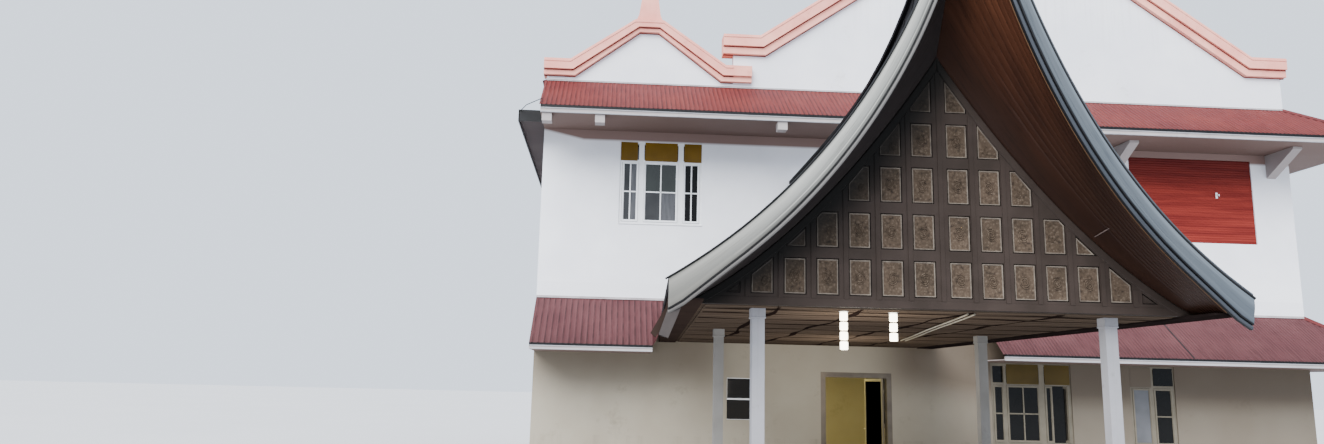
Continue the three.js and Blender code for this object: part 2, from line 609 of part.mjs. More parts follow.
function buildRoofSkins() {
  for (const [side, sign] of [['left', -1], ['right', 1]]) {
    const grid = (depth) => LEVELS.map((level) => STATIONS.map((v) => roofPoint(sign, level, v, depth)));
    place(`porch_roof_${side}`, shell(grid(0), grid(SKIN)), paint.darkSheet);
  }
  const tipY = edgeY(TIP_LEVEL) + TRIM.back + TRIM.thick + GAP;
  const { half, deep, capHalf, capThick } = RIDGE_BEAM;
  const section = [[-half, -deep], [half, -deep], [half, GAP], [capHalf, GAP], [capHalf, capThick],
    [-capHalf, capThick], [-capHalf, GAP], [-half, GAP]];
  place('porch_ridge', sweep(section, STATIONS, (v, x, up) =>
    new THREE.Vector3(x, FRONT + v * (tipY - FRONT), ridgeLevel(v) + up)), paint.darkSheet);
}

const BAND_LEVELS = [...BELOW_EAVE, ...LEVELS];

function boardWidth(level) {
  const above = Math.max(level - EAVE_LEVEL, 0);
  const nearEave = Math.max(BOARD.flareTop - EAVE_LEVEL - above, 0) / (BOARD.flareTop - EAVE_LEVEL);
  return BOARD.wideAtEave - BOARD.taper * above + BOARD.flare * nearEave ** 2;
}

// Band along the front edge between two depths by level, cut plumb at the eave and at the axis
function edgeBand(sign, outerAt, innerAt, back, thick) {
  const section = [[0, 0], [1, 0], [1, thick], [0, thick]];
  const band = sweep(section, BAND_LEVELS, (level, share, dy) => {
    const inward = edgeInward(level);
    const depth = outerAt(level) + share * (innerAt(level) - outerAt(level));
    return new THREE.Vector3(sign * (edgeHalf(level) + inward.x * depth), edgeY(level) + back + dy,
      level + inward.z * depth);
  });
  const [x0, x1] = sign > 0 ? [GAP, EAVE_HALF] : [-EAVE_HALF, -GAP];
  return keepWithin(band,
    box(x0, x1, edgeY(TIP_LEVEL) - WALL, FRONT, BAND_LEVELS[0], TIP_LEVEL + PAST));
}

// Lining between the gable's curved edge and the back of the trim; its faces lie a depth apart
function liningPoint(sign, share, across, depth) {
  const half = GABLE_HALF * (1 - share);
  const atGable = new THREE.Vector3(half, GABLE_FACE - GAP, gableLevel(half));
  const level = LINING_SPAN.low + (LINING_SPAN.high - LINING_SPAN.low) * share ** LINING_SPAN.crowd;
  const inward = edgeInward(level);
  const inset = boardWidth(level) + TRIM.wide - LINING_SPAN.lap;
  const edgeX = Math.max(edgeHalf(level) + inward.x * inset, GAP);
  const atEdge = new THREE.Vector3(edgeX, edgeY(level) + TRIM.back + TRIM.thick + LAP,
    level + inward.z * inset);
  const point = atGable.lerp(atEdge, across);
  point.add(new THREE.Vector3(-inward.x, 0, -inward.z).multiplyScalar(depth));
  return new THREE.Vector3(sign * Math.max(point.x, GAP), point.y, point.z);
}

function gableLevel(half) {
  return GABLE_CURVE.apex - GABLE_CURVE.fall * half + GABLE_CURVE.bow * half ** 2;
}

function gableHalfAt(level) {
  const { apex, fall, bow } = GABLE_CURVE;
  return (fall - Math.sqrt(fall ** 2 - 4 * bow * (apex - level))) / (2 * bow);
}

function buildRoofEdges() {
  for (const [side, sign] of [['left', -1], ['right', 1]]) {
    const board = edgeBand(sign, () => 0, boardWidth, 0, BOARD.thick);
    const trim = edgeBand(sign, (level) => boardWidth(level) - BAND_LAP,
      (level) => boardWidth(level) + TRIM.wide, TRIM.back, TRIM.thick);
    const tail = plateAlongY(outline(TRIM_TAIL.map(([x, z]) => [sign * x, z])), ...TRIM_TAIL_Y);
    place(`barge_board_${side}`, join(side === 'left' ? [board, trim, tail] : [board, trim]), paint.board);
    const shares = Array.from({ length: UP + 1 }, (_, i) => i / UP);
    const grid = (depth) => shares.map((share) => [0, 0.5, 1].map((across) =>
      liningPoint(sign, share, across, depth)));
    place(`roof_lining_${side}`, shell(grid(0), grid(LINING)), paint.brownWood);
  }
}

// Gable: backing sheet with the frame of rails and posts in front of it
function gableOutline(margin, reach) {
  const steps = 12;
  const right = Array.from({ length: steps + 1 }, (_, i) => reach * (1 - i / steps))
    .map((half) => [half, gableLevel(half) - margin]);
  const left = right.slice(0, -1).reverse().map(([x, z]) => [-x, z]);
  return [...right, ...left];
}

// Level of the ceiling's underside at a distance from the wall
function ceilingAt(y) {
  return CEILING + CEILING_RISE * (FRONT - y) / (FRONT - EAVE_BOX.front);
}

function buildGable() {
  const foot = ceilingAt(GABLE_FACE);
  const field = [[-GABLE_HALF, foot], [GABLE_HALF, foot], ...gableOutline(-LINING, GABLE_HALF)];
  const backing = plateAlongY(outline(field), GABLE_FACE + GABLE_THICK + GAP, GABLE_FACE + 2 * GABLE_THICK);
  place('gable_backing', backing, paint.carving);
  const frame = plateAlongY(outline(field), GABLE_FACE, GABLE_FACE + GABLE_THICK);
  const inside = plateAlongY(outline(gableOutline(GABLE_EDGE, gableHalfAt(PANEL_ROWS[0][0] + GABLE_EDGE))),
    GABLE_FACE - 2 * PAST, GABLE_FACE + GABLE_THICK + 2 * PAST);
  const holes = [];
  for (const [bottom, top] of PANEL_ROWS) {
    for (let i = 0; i < PANEL.count; i += 1) {
      const x = PANEL.inner + i * PANEL.pitch;
      if (gableLevel(x + PANEL.least) - GABLE_EDGE < bottom + PANEL.least) continue;
      for (const [x0, x1] of [[x, x + PANEL.width], [-x - PANEL.width, -x]]) {
        const hole = box(x0, x1, GABLE_FACE - PAST, GABLE_FACE + GABLE_THICK + PAST, bottom, top);
        holes.push(keepWithin(hole, inside));
      }
    }
  }
  place('gable_frame', cut(frame, holes), paint.gableWood);
}

function eaveSection() {
  const { ceilingHalf, half, soffitThick, top, topHalf, thick } = EAVE_BOX;
  const ceiling = CEILING - GAP;
  const bottom = ceiling - soffitThick;
  return [[ceilingHalf, ceiling], [ceilingHalf, bottom], [half, bottom], [topHalf, top],
    [topHalf - thick, top], [topHalf - thick, ceiling]];
}

// Side eave from the wall to the front; its soffit climbs with the ceiling, its top edge stays level
function eave(sign) {
  const body = sweep(eaveSection(), [0, 1], (v, x, z) =>
    new THREE.Vector3(sign * x * planScale(v), FRONT + v * (EAVE_BOX.front - FRONT),
      z < EAVE_BOX.top ? z + CEILING_RISE * v : z));
  if (sign > 0) return body;
  const tail = plateAlongY(outline(EAVE_TAIL.map(([x, z]) => [sign * x, z])),
    EAVE_BOX.front, EAVE_BOX.front + EAVE_TAIL_THICK);
  return join([body, tail]);
}

function ceilingPlate(gableBack) {
  const halfAt = (y) => EAVE_BOX.ceilingHalf * planScale((FRONT - y) / (FRONT - EAVE_BOX.front)) - GAP;
  const [atGable, atWall] = [halfAt(gableBack), halfAt(FRONT)];
  const plan = outline([[-atGable, gableBack], [atGable, gableBack], [atWall, FRONT], [-atWall, FRONT]]);
  return remap(extrudeFlat(plan, CEILING_THICK), (x, y, z) => [x, y, ceilingAt(y) + z]);
}

function buildPorch() {
  const gableBack = GABLE_FACE + 2 * GABLE_THICK;
  place('porch_ceiling', ceilingPlate(gableBack), paint.brownWood);
  for (const [side, sign] of [['left', -1], ['right', 1]]) {
    place(`eave_board_${side}`, eave(sign), paint.darkSheet);
    for (const [row, y] of [['front', FRONT_COLUMN_Y], ['back', BACK_COLUMN_Y]]) {
      const x = sign * COLUMN_SPACING / 2;
      const half = COLUMN / 2;
      const cap = COLUMN_CAP.half;
      const capFoot = ceilingAt(y) - COLUMN_CAP.height;
      const capBlock = remap(box(x - cap, x + cap, y - cap, y + cap, capFoot, CEILING + CEILING_RISE),
        (px, py, pz) => [px, py, pz > capFoot + LAP ? ceilingAt(py) : pz]);
      const shaft = box(x - half, x + half, y - half, y + half, 0, capFoot + LAP);
      place(`column_${row}_${side}`, join([shaft, capBlock]), paint.column);
    }
  }
  for (const [side, x, count] of LAMPS) {
    place(`porch_lamp_${side}`, lamp(x, count), paint.lamp);
  }
}

// Pendant of short tubes on one stem
function lamp(x, count) {
  const { y, half, tube, gap, stem } = LAMP;
  const hook = ceilingAt(y + stem);
  const length = count * (tube + gap);
  const tubes = Array.from({ length: count }, (_, i) => {
    const top = hook - gap - i * (tube + gap);
    return box(x - half, x + half, y - half, y + half, top - tube, top);
  });
  return join([box(x - stem, x + stem, y - stem, y + stem, hook - length + LAP, hook), ...tubes]);
}

buildBlock();
buildPlainGlass();
buildWindows();
buildDoor();
buildAwnings();
buildGables();
buildRoofs();
buildPorch();
buildRoofSkins();
buildRoofEdges();
buildGable();

export default house;
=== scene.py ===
"""Finishes and fine parts of a two-storey hall with a boat-roofed porch, in metres."""

import math

import bpy
from mathutils import Matrix, Vector


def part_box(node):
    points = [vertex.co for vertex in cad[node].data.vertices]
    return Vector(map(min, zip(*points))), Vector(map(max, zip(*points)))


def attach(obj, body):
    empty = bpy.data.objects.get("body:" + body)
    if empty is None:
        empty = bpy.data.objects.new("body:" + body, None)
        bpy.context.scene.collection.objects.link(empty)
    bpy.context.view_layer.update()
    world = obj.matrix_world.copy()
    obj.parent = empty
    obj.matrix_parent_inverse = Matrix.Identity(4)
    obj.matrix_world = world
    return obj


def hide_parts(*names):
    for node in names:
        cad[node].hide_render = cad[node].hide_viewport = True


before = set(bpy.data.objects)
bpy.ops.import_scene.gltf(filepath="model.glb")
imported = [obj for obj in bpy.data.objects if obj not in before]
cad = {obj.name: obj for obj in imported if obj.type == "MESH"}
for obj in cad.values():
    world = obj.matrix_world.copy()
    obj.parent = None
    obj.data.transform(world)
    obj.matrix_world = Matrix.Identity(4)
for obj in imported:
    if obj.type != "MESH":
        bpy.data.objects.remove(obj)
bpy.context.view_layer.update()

SIDES = (("left", -1), ("right", 1))
# Faces of the hall, and how far the awnings reach
FRONT, BACK, LEFT, RIGHT = -0.1, 9.1, -5.81, 11.89
REACH = 1.3
UPPER_AWNING = {"top": 8.75, "edge": 7.77, "soffit": 7.6, "moulding": 0.06}
LOWER_AWNING = {"top": 3.75, "edge": 2.7, "soffit": 2.565, "moulding": 0.045}
LOWER_LEFT_END, LOWER_LEFT_END_AT_WALL = -3.28, -2.85
LOWER_RIGHT_START = 4.15
# Gable copings: knee from the axis, level of the knee, half-width of the top, slope
SMALL_GABLE = {"axis": -3.47, "end": 2.41, "stop": -1.49,
               "layers": [(1.8, 9.245, 0.33, 0.7), (1.74, 9.0, 0.24, 0.735), (1.695, 8.87, 0.22, 0.763)]}
LARGE_GABLE = {"axis": 5.13, "end": 6.86, "stop": 12.0,
               "layers": [(5.987, 10.015, 0.33, 0.69), (5.92, 9.74, 0.26, 0.69), (5.86, 9.56, 0.23, 0.69)]}
ROOF_FOOT = 8.82
SMALL_ROOF = {"axis": -3.47, "ridge": 9.83, "left": -5.9, "right": -1.32}
LARGE_ROOF = {"axis": 5.13, "ridge": 13.15, "left": -1.18, "right": 11.96}
# Window holes: left, right, bottom, top; and the clad panel
FRAME_FACE = FRONT + 0.03
UPPER_WINDOW = (-4.059, -2.176, 5.453, 7.372)
HALL_WINDOW = (4.386, 6.234, 0.76, 2.54)
SIDE_ROOM_WINDOW = (7.6, 8.65, 0.76, 2.54)
TRANSOM_DROP = 0.45
PLAIN_WINDOWS = {"lower": (0.9, 2.4), "upper": (5.453, 7.372)}
CLAD_PANEL = (7.937, 10.929, 5.443, 7.447)
BACK_WINDOWS, RIGHT_WINDOWS = (-3.4, 0.6, 5.0, 9.2), (2.6, 6.4)
# Porch roof
EAVE_HALF, EAVE_LEVEL, TIP_LEVEL, RIDGE_AT_WALL = 3.51, 3.15, 8.6, 6.5
EDGE_FLARE = (1.3288, -2.4249, 0.7971, -1.2262)
TRIM_WIDE, TRIM_FOOT = 0.05, 2.55
LINING_FOOT, LINING_TOP, LINING_BOARDS = 3.222, 8.35, 13
CEILING, CEILING_RISE, EAVE_FRONT = 2.85, 0.075, -9.555
COLUMN_SPAN, COLUMN_ROWS = 2.3, (("front", -8.6), ("back", -4.566))
# Porch gable: its edge falls from the apex along a curve
GABLE_FACE, GABLE_HALF, GABLE_EDGE = -8.96, 3.255, 0.15
GABLE_APEX, GABLE_FALL, GABLE_EASE = 6.24, 1.5015, 0.1481
PANEL_ROWS = [(3.063, 3.528), (3.664, 4.127), (4.27, 4.741), (4.879, 5.334), (5.48, 5.99)]
PANEL_INNER, PANEL_WIDTH, PANEL_PITCH, PANEL_COUNT, PANEL_LEAST = 0.088, 0.286, 0.414, 7, 0.06
# Pendant lamps: place across the porch, tubes
LAMPS = (("left", -1.175, 4), ("right", -0.525, 3))
LAMP_ROW, TUBE_PITCH = -8.56, 0.125


def tone(red, green, blue):
    """Paint colour from display values of 0 to 255."""
    return (*[((part / 255 + 0.055) / 1.055) ** 2.4 for part in (red, green, blue)], 1)


def node(kind, inputs, **settings):
    """Adds a node in the tree of the sockets that feed it, sets it, and fills its inputs."""
    tree = next(value.id_data for value in inputs.values() if isinstance(value, bpy.types.NodeSocket))
    made = tree.nodes.new(kind)
    for key, value in settings.items():
        setattr(made, key, value)
    for socket, value in inputs.items():
        if isinstance(value, bpy.types.NodeSocket):
            tree.links.new(value, made.inputs[socket])
        else:
            made.inputs[socket].default_value = value
    return made


def maths(operation, first, second=0.0):
    return node("ShaderNodeMath", {0: first, 1: second}, operation=operation).outputs[0]


def times(first, *others):
    for other in others:
        first = maths("MULTIPLY", first, other)
    return first


def plus(first, *others):
    for other in others:
        first = maths("ADD", first, other)
    return first


def minus(first, second):
    return maths("SUBTRACT", first, second)


def noise(vector, scale, detail=3.0, rough=0.55):
    return node("ShaderNodeTexNoise", {"Vector": vector, "Scale": scale, "Detail": detail,
                                       "Roughness": rough}).outputs["Fac"]


def mapped(value, low, high, start=0.0, end=1.0, ease="LINEAR"):
    """Value that runs from start to end while the given one runs from low to high."""
    return node("ShaderNodeMapRange", {0: value, 1: low, 2: high, 3: start, 4: end},
                interpolation_type=ease).outputs[0]


def blend(share, first, second, **settings):
    """Mix of two colours, each a socket or display values."""
    first, second = (tone(*colour) if isinstance(colour, tuple) else colour for colour in (first, second))
    return node("ShaderNodeMix", {0: share, 6: first, 7: second}, data_type="RGBA", **settings).outputs[2]


def axes(vector):
    return node("ShaderNodeSeparateXYZ", {0: vector}).outputs


def combined(*parts):
    return node("ShaderNodeCombineXYZ", dict(enumerate(parts))).outputs[0]


def stretched(vector, *scale):
    return node("ShaderNodeMapping", {"Vector": vector, "Scale": scale}).outputs[0]


def group(make, **inputs):
    """Shader node group with named inputs, whose outputs a function of the same name works out."""
    tree = bpy.data.node_groups.new(make.__name__, "ShaderNodeTree")
    labels = [label.replace("_", " ") for label in inputs]
    for label, value in zip(labels, inputs.values()):
        kind = "NodeSocketVector" if isinstance(value, tuple) else "NodeSocketFloat"
        tree.interface.new_socket(name=label, in_out="INPUT", socket_type=kind).default_value = value
    given = tree.nodes.new("NodeGroupInput").outputs
    outputs = make(*[given[label] for label in labels])
    for label in outputs:
        tree.interface.new_socket(name=label, in_out="OUTPUT", socket_type="NodeSocketFloat")
    result = tree.nodes.new("NodeGroupOutput")
    for label, value in outputs.items():
        tree.links.new(value, result.inputs[label])
    return tree


def use(made, **inputs):
    """Outputs of a node group placed with its inputs."""
    return node("ShaderNodeGroup", {key.replace("_", " "): value for key, value in inputs.items()},
                node_tree=made).outputs


def patchy_soiling(vector, patch_size, cover):
    """Soft patches with fine specks inside them."""
    often = maths("DIVIDE", 1.0, patch_size)
    patches, specks = noise(vector, often, 4.0, 0.6), noise(vector, times(often, 9.0), 3.0, 0.7)
    both = plus(times(patches, 0.7), times(specks, 0.3))
    low = minus(0.72, times(cover, 0.4))
    return {"Mask": mapped(both, low, plus(low, 0.22))}


def rain_streaks(vector, top, reach, width):
    """Upright streaks that start at a level and fade below it."""
    x, y, z = axes(vector)
    along = times(plus(x, y), maths("DIVIDE", 1.0, width))
    lines = mapped(noise(combined(along, 0.0, times(z, 0.35)), 1.0, 3.0, 0.6), 0.5, 0.78)
    down = minus(top, z)
    return {"Mask": times(lines, mapped(down, 0.0, reach, 1.0, 0.0), maths("GREATER_THAN", down, 0.0))}


def wood_grain(vector, fibre, length):
    """Long fibres along the vector's first axis, with darker lines between them."""
    x, y, z = axes(vector)
    lengthwise = maths("DIVIDE", x, length)
    grain = combined(times(lengthwise, 2.0), times(y, fibre), times(z, fibre))
    figure = combined(lengthwise, times(y, times(fibre, 0.12)), times(z, 5.0))
    return {"Grain": noise(grain, 1.0, 4.0, 0.65), "Figure": noise(figure, 1.0, 3.0, 0.5)}


def left_edge_shade(vector, reach):
    """Painted shade along the porch gable's left curved edge, where the left overhang shades it: full at the
    edge and gone further in.
    """
    x, _, z = axes(vector)
    inner = maths("MAXIMUM", minus(GABLE_FALL ** 2, times(minus(GABLE_APEX, z), 4 * GABLE_EASE)), 0.0)
    half = maths("DIVIDE", minus(GABLE_FALL, maths("SQRT", inner)), 2 * GABLE_EASE)
    return {"Mask": mapped(plus(x, half), 0.12, reach, 1.0, 0.0, "SMOOTHSTEP")}


soiling = group(patchy_soiling, Vector=(0, 0, 0), Patch_Size=1.0, Cover=0.5)
streaks = group(rain_streaks, Vector=(0, 0, 0), Top=8.0, Reach=1.0, Width=0.1)
wood = group(wood_grain, Vector=(0, 0, 0), Fibre=60.0, Length=1.5)
gable_edge_shade = group(left_edge_shade, Vector=(0, 0, 0), Reach=0.6)


def blank(name, **plain):
    """New material; returns it, its shader and its object coordinates."""
    material = bpy.data.materials.new(name)
    material.use_nodes = True
    shader = material.node_tree.nodes["Principled BSDF"]
    for socket, value in plain.items():
        shader.inputs[socket.replace("_", " ")].default_value = value
    return material, shader, material.node_tree.nodes.new("ShaderNodeTexCoord").outputs["Object"]


def flat_layout(shader):
    """Across and along a piece that carries its own flat layout."""
    return axes(shader.id_data.nodes.new("ShaderNodeUVMap").outputs[0])[:2]


def feed(shader, colour, rough, relief):
    """Colour, roughness (value, low, high) and relief (height, strength, depth) of a material."""
    height, strength, depth = relief
    lifted = node("ShaderNodeBump", {"Height": height, "Strength": strength, "Distance": depth})
    for socket, value in (("Base Color", colour), ("Roughness", mapped(rough[0], 0.0, 1.0, *rough[1:])),
                          ("Normal", lifted.outputs[0])):
        shader.id_data.links.new(value, shader.inputs[socket])


def painted(name, colour, patch, dirt, soil=0.3, patch_size=1.2, rough=(0.6, 0.8), tooth=70.0, relief=0.002,
            streak=None, shade_band=None, upper_coat=None, undersides=None, gable_shade=0.0, under_eave=None,
            **plain):
    """Paint or plaster: two close tones, soiling, streaks, painted shade, and a fine tooth."""
    material, shader, place = blank(name, **{"Specular_IOR_Level": 0.2, **plain})
    x, y, z = axes(place)
    cloud = noise(place, 1 / patch_size)
    base = blend(mapped(cloud, 0.35, 0.65), colour, patch)
    grime = use(soiling, Vector=place, Patch_Size=patch_size * 0.6, Cover=soil)[0]
    layers = [(times(grime, 0.55), dirt)]
    if streak:
        top, reach, width, amount = streak
        layers.append((times(use(streaks, Vector=place, Top=top, Reach=reach, Width=width)[0], amount), dirt))
    if shade_band:
        # The front wall's shade ends at a level that rises towards the left corner
        level, tint = shade_band
        rise = maths("MAXIMUM", times(plus(x, 4.9), -0.22), 0.0)
        over = mapped(minus(z, plus(rise, level)), -0.03, 0.03)
        layers.append((times(over, maths("LESS_THAN", z, 7.7), maths("LESS_THAN", y, FRONT + 0.05)), tint))
    if under_eave:
        # Shade below the lower awnings, away from the lamps and deeper to the right
        start, end, tint = under_eave
        upwards = mapped(z, start, end, ease="SMOOTHSTEP")
        away = mapped(maths("ABSOLUTE", minus(x, 0.2)), 1.1, 2.5, ease="SMOOTHSTEP")
        whole = plus(times(upwards, away, 0.62), mapped(x, 1.2, 5.0, 0.0, 0.6))
        layers.append((times(maths("MINIMUM", whole, 0.85), maths("LESS_THAN", z, 3.0)), tint))
    # Painted shade: faces underneath at the given levels get a darker tint
    if undersides:
        levels, tint = undersides
        layers += [(maths("LESS_THAN", maths("ABSOLUTE", minus(z, level)), 0.006), tint) for level in levels]
    if upper_coat:
        level, tint = upper_coat
        layers.append((maths("GREATER_THAN", z, level), tint))
    # Painted shade along the porch gable's left edge, cast by the left overhang
    if gable_shade:
        layers.append((times(use(gable_edge_shade, Vector=place, Reach=0.75)[0], gable_shade), (14, 14, 13)))
    for share, tint in layers:
        base = blend(share, base, tint)
    feed(shader, base, (cloud, *rough), (noise(place, tooth, 4.0, 0.7), 0.5, relief))
    return material


def ceiling_boards():
    """Ceiling sheets along X, each with a tone of its own, fine grain and a dark seam."""
    material, shader, place = blank("porch_ceiling_boards", Specular_IOR_Level=0.0)
    board, dark = 0.3, (30, 23, 19)
    grain, figure = use(wood, Vector=place, Fibre=70.0, Length=1.2)
    count = maths("DIVIDE", axes(place)[1], board)
    own = node("ShaderNodeTexWhiteNoise", {"W": maths("FLOOR", count)},
               noise_dimensions="1D").outputs["Value"]
    across = maths("FRACT", count)
    seam = maths("LESS_THAN", maths("MINIMUM", across, minus(1.0, across)), 0.06)
    base = blend(plus(times(own, 0.5), times(figure, 0.5)), (62, 53, 46), (78, 67, 57))
    base = blend(times(mapped(grain, 0.5, 0.8), 0.6), base, dark)
    base = blend(times(seam, 0.85), base, dark)
    feed(shader, base, (grain, 0.45, 0.6), (minus(grain, times(seam, 2.0)), 0.4, 0.002))
    return material


def edge_following(name, colour, light, dark, length, width, lines=40.0, rough=(0.3, 0.5), glow=None,
                   tones=None, foot=None):
    """Finish of a bent strip along its own flat layout: grain, warm painted light, painted shade and
    highlight across it, a darker foot.
    """
    material, shader, _ = blank(name, Specular_IOR_Level=0.15)
    u, v = flat_layout(shader)
    grain, figure = use(wood, Vector=combined(times(v, length), times(u, width)), Fibre=lines, Length=2.0)
    base = blend(figure, colour, light)
    if glow:
        # Warm painted light, growing along the strip and across it
        warm, start, end = glow
        share = times(mapped(v, start, end), mapped(u, 0.15, 1.0), figure, 1.6)
        base = blend(share, base, warm)
    base = blend(times(mapped(grain, 0.52, 0.75), 0.6), base, dark)
    # Tones across the strip: painted shade and highlight of a rounded face
    if tones:
        ramp = node("ShaderNodeValToRGB", {0: plus(u, times(minus(figure, 0.5), 0.16))})
        while len(ramp.color_ramp.elements) < len(tones):
            ramp.color_ramp.elements.new(0.5)
        for mark, (place, strength) in zip(ramp.color_ramp.elements, tones):
            mark.position = place
            mark.color = (strength, strength, strength, 1)
        base = blend(1.0, base, ramp.outputs[0], blend_type="MULTIPLY")
    if foot:
        start, end, share = foot
        base = blend(mapped(v, start, end, share, 0.0), base, dark)
    feed(shader, base, (grain, *rough), (grain, 0.35, 0.002))
    return material


def glazing(name, colour, see_through, rough=0.04, glow=0.0, shine=0.1):
    """Pane with faint clouds and slightly uneven faces; a glow stands for a lit room behind it."""
    material, shader, place = blank(name, Transmission_Weight=see_through, Metallic=0.0, IOR=1.45,
                                    Specular_IOR_Level=shine)
    cloud = noise(place, 2.2, 2.0)
    clouded = blend(cloud, colour, tuple(part * 0.6 for part in colour))
    if glow:
        shader.id_data.links.new(clouded, shader.inputs["Emission Color"])
        shader.inputs["Emission Strength"].default_value = glow
    feed(shader, clouded, (cloud, rough, rough * 2.5), (noise(place, 1.3, 1.0), 0.15, 0.01))
    return material


def curtained_glass():
    """Pane with a dark upright-striped curtain close behind it."""
    material, shader, place = blank("striped_pane")
    stripes = maths("SINE", times(axes(place)[0], 210.0))
    uneven = noise(stretched(place, 9.0, 1.0, 1.5), 1.0)
    base = blend(plus(times(stripes, 0.3), uneven), (28, 28, 32), (88, 88, 91))
    feed(shader, base, (uneven, 0.05, 0.2), (noise(place, 1.3, 1.0), 0.15, 0.01))
    return material


def roof_sheet_paint(name, colour, patch, rust_and_shade, slope_low, slope_high):
    """Red sheet paint, with painted shade in the valleys between the waves, and corroded near its lower edge.
    """
    material, shader, place = blank(name, Specular_IOR_Level=0.15)
    base = blend(mapped(noise(place, 0.9, 4.0, 0.6), 0.3, 0.7), colour, patch)
    fine = noise(stretched(place, 14.0, 2.0, 1.5), 1.0, 4.0, 0.7)
    low = mapped(axes(place)[2], slope_low, slope_high, 0.55, 0.0)
    # Painted shade in the valleys between the waves
    valley = mapped(maths("ABSOLUTE", minus(flat_layout(shader)[0], 0.5)), 0.05, 0.17, 0.8, 0.0)
    for share in (times(mapped(fine, 0.5, 0.8), 0.4), times(low, fine),
                  times(valley, mapped(noise(place, 3.0), 0.25, 0.6))):
        base = blend(share, base, rust_and_shade)
    feed(shader, base, (fine, 0.5, 0.75), (noise(place, 55.0), 0.3, 0.001))
    return material


def clad_panel_paint():
    """Orange-red ribbed sheet, darker towards its top as painted shade under the awning, and in broken level
    lines.
    """
    material, shader, place = blank("clad_panel_paint", Specular_IOR_Level=0.1)
    lines = noise(stretched(place, 0.5, 1.0, 11.0), 1.0, 4.0, 0.6)
    base = blend(mapped(lines, 0.4, 0.62), (121, 43, 36), (98, 30, 27))
    # Painted shade under the awning: darker towards the panel's top
    base = blend(mapped(axes(place)[2], 6.7, 7.42, 0.0, 0.6), base, (67, 23, 24))
    feed(shader, base, (lines, 0.45, 0.7), (noise(place, 60.0), 0.3, 0.001))
    return material


def carved_stone():
    """Carved panel face: worn relief in coarse and fine scrolls, with painted shade in its hollows and at the
    left edge.
    """
    material, shader, place = blank("carved_panel_face", Specular_IOR_Level=0.15)
    fine = noise(place, 62.0, 6.0, 0.8)
    scrolls = node("ShaderNodeTexVoronoi", {"Vector": place, "Scale": 30.0},
                   feature="SMOOTH_F1").outputs["Distance"]
    relief = plus(times(fine, 0.6), times(scrolls, 0.55), times(noise(place, 21.0, 3.0, 0.6), 0.35))
    base = blend(mapped(noise(place, 2.4, 2.0), 0.35, 0.65), (70, 58, 47), (58, 48, 38))
    # Painted shade in the relief's hollows, lighter patches on the rest, and painted shade along the gable's
    # left edge
    for share, tint in ((times(mapped(relief, 0.74, 0.98), 0.85), (22, 16, 13)),
                        (times(mapped(relief, 0.66, 0.5), 0.55), (100, 88, 76)),
                        (times(use(gable_edge_shade, Vector=place, Reach=0.9)[0], 0.9), (18, 17, 16))):
        base = blend(share, base, tint)
    feed(shader, base, (fine, 0.65, 0.9), (relief, 0.9, 0.008))
    return material


def lamp_glow():
    """White lamp tube with a warm cloud in its light."""
    material, shader, place = blank("lamp_glow")
    cloud = noise(place, 30.0, 2.0)
    warm = blend(cloud, (255, 250, 235), (255, 238, 205))
    for socket, value in (("Base Color", warm), ("Emission Color", warm),
                          ("Roughness", times(cloud, maths("ABSOLUTE", axes(place)[2])))):
        shader.id_data.links.new(value, shader.inputs[socket])
    shader.inputs["Emission Strength"].default_value = 9.0
    return material


# Lower storey plaster: a cream paint, made darker than the upper walls as painted shade beneath the awnings
# and porch
LOWER_PLASTER_AND_SHADE = ((146, 139, 124), (139, 131, 116), (94, 85, 69))
NO_SHINE = {"Specular_IOR_Level": 0.0}
upper_plaster = painted("upper_wall_plaster", (230, 231, 236), (221, 222, 228), (150, 147, 142), soil=0.2,
                        shade_band=(7.375, (126, 104, 98)), relief=0.0015)
lower_plaster = painted("lower_wall_plaster", *LOWER_PLASTER_AND_SHADE, soil=0.35, streak=(0.8, 0.8, 0.2, 0.3),
                        upper_coat=(3.755, (224, 225, 230)), under_eave=(1.4, 2.5, (76, 65, 55)))
side_plaster = painted("side_wall_plaster", *LOWER_PLASTER_AND_SHADE, soil=0.35, upper_coat=(3.72, (228, 229, 234)))
hall_lining = painted("gable_wall_plaster", (222, 223, 228), (212, 214, 221), (140, 138, 135),
                      streak=(11.5, 2.0, 0.1, 0.22))
coping_paint = painted("coping_paint", (228, 162, 145), (214, 141, 128), (146, 85, 74), soil=0.35,
                       patch_size=0.7, streak=(13.5, 5.0, 0.12, 0.25))
# Dark red strips under the coping steps: painted shadow
coping_line = painted("coping_line", (120, 40, 38), (95, 32, 32), (60, 30, 28), tooth=40.0)
concrete = painted("bare_concrete", (172, 168, 160), (150, 147, 140), (95, 90, 82), soil=0.5, tooth=30.0,
                   relief=0.004, rough=(0.8, 0.95))
fascia_paint = painted("fascia_paint", (156, 155, 159), (146, 146, 149), (77, 71, 67), patch_size=0.5,
                       rough=(0.4, 0.6), streak=(8.0, 8.0, 0.06, 0.3))
soffit_paint = painted("eave_and_soffit_paint", (159, 152, 150), (150, 142, 141), (86, 75, 71),
                       undersides=((7.6, 2.565), (106, 87, 80)))
flashing_paint = painted("awning_flashing", (150, 144, 146), (132, 126, 128), (84, 70, 68), soil=0.4,
                         patch_size=0.4)
window_paint = painted("window_frame_paint", (228, 229, 231), (218, 219, 222), (108, 104, 99), soil=0.2,
                       patch_size=0.3, rough=(0.3, 0.5), relief=0.0008)
# Frame paint darker than the upper frames: painted shade under the awning and the porch roof
shaded_frame_paint = painted("lower_window_frame_paint", (112, 105, 92), (102, 96, 83), (62, 55, 44),
                            patch_size=0.3, rough=(0.4, 0.6), relief=0.0008)
leaf_paint = painted("door_leaf_paint", (122, 115, 100), (112, 104, 90), (66, 60, 50), patch_size=0.4)
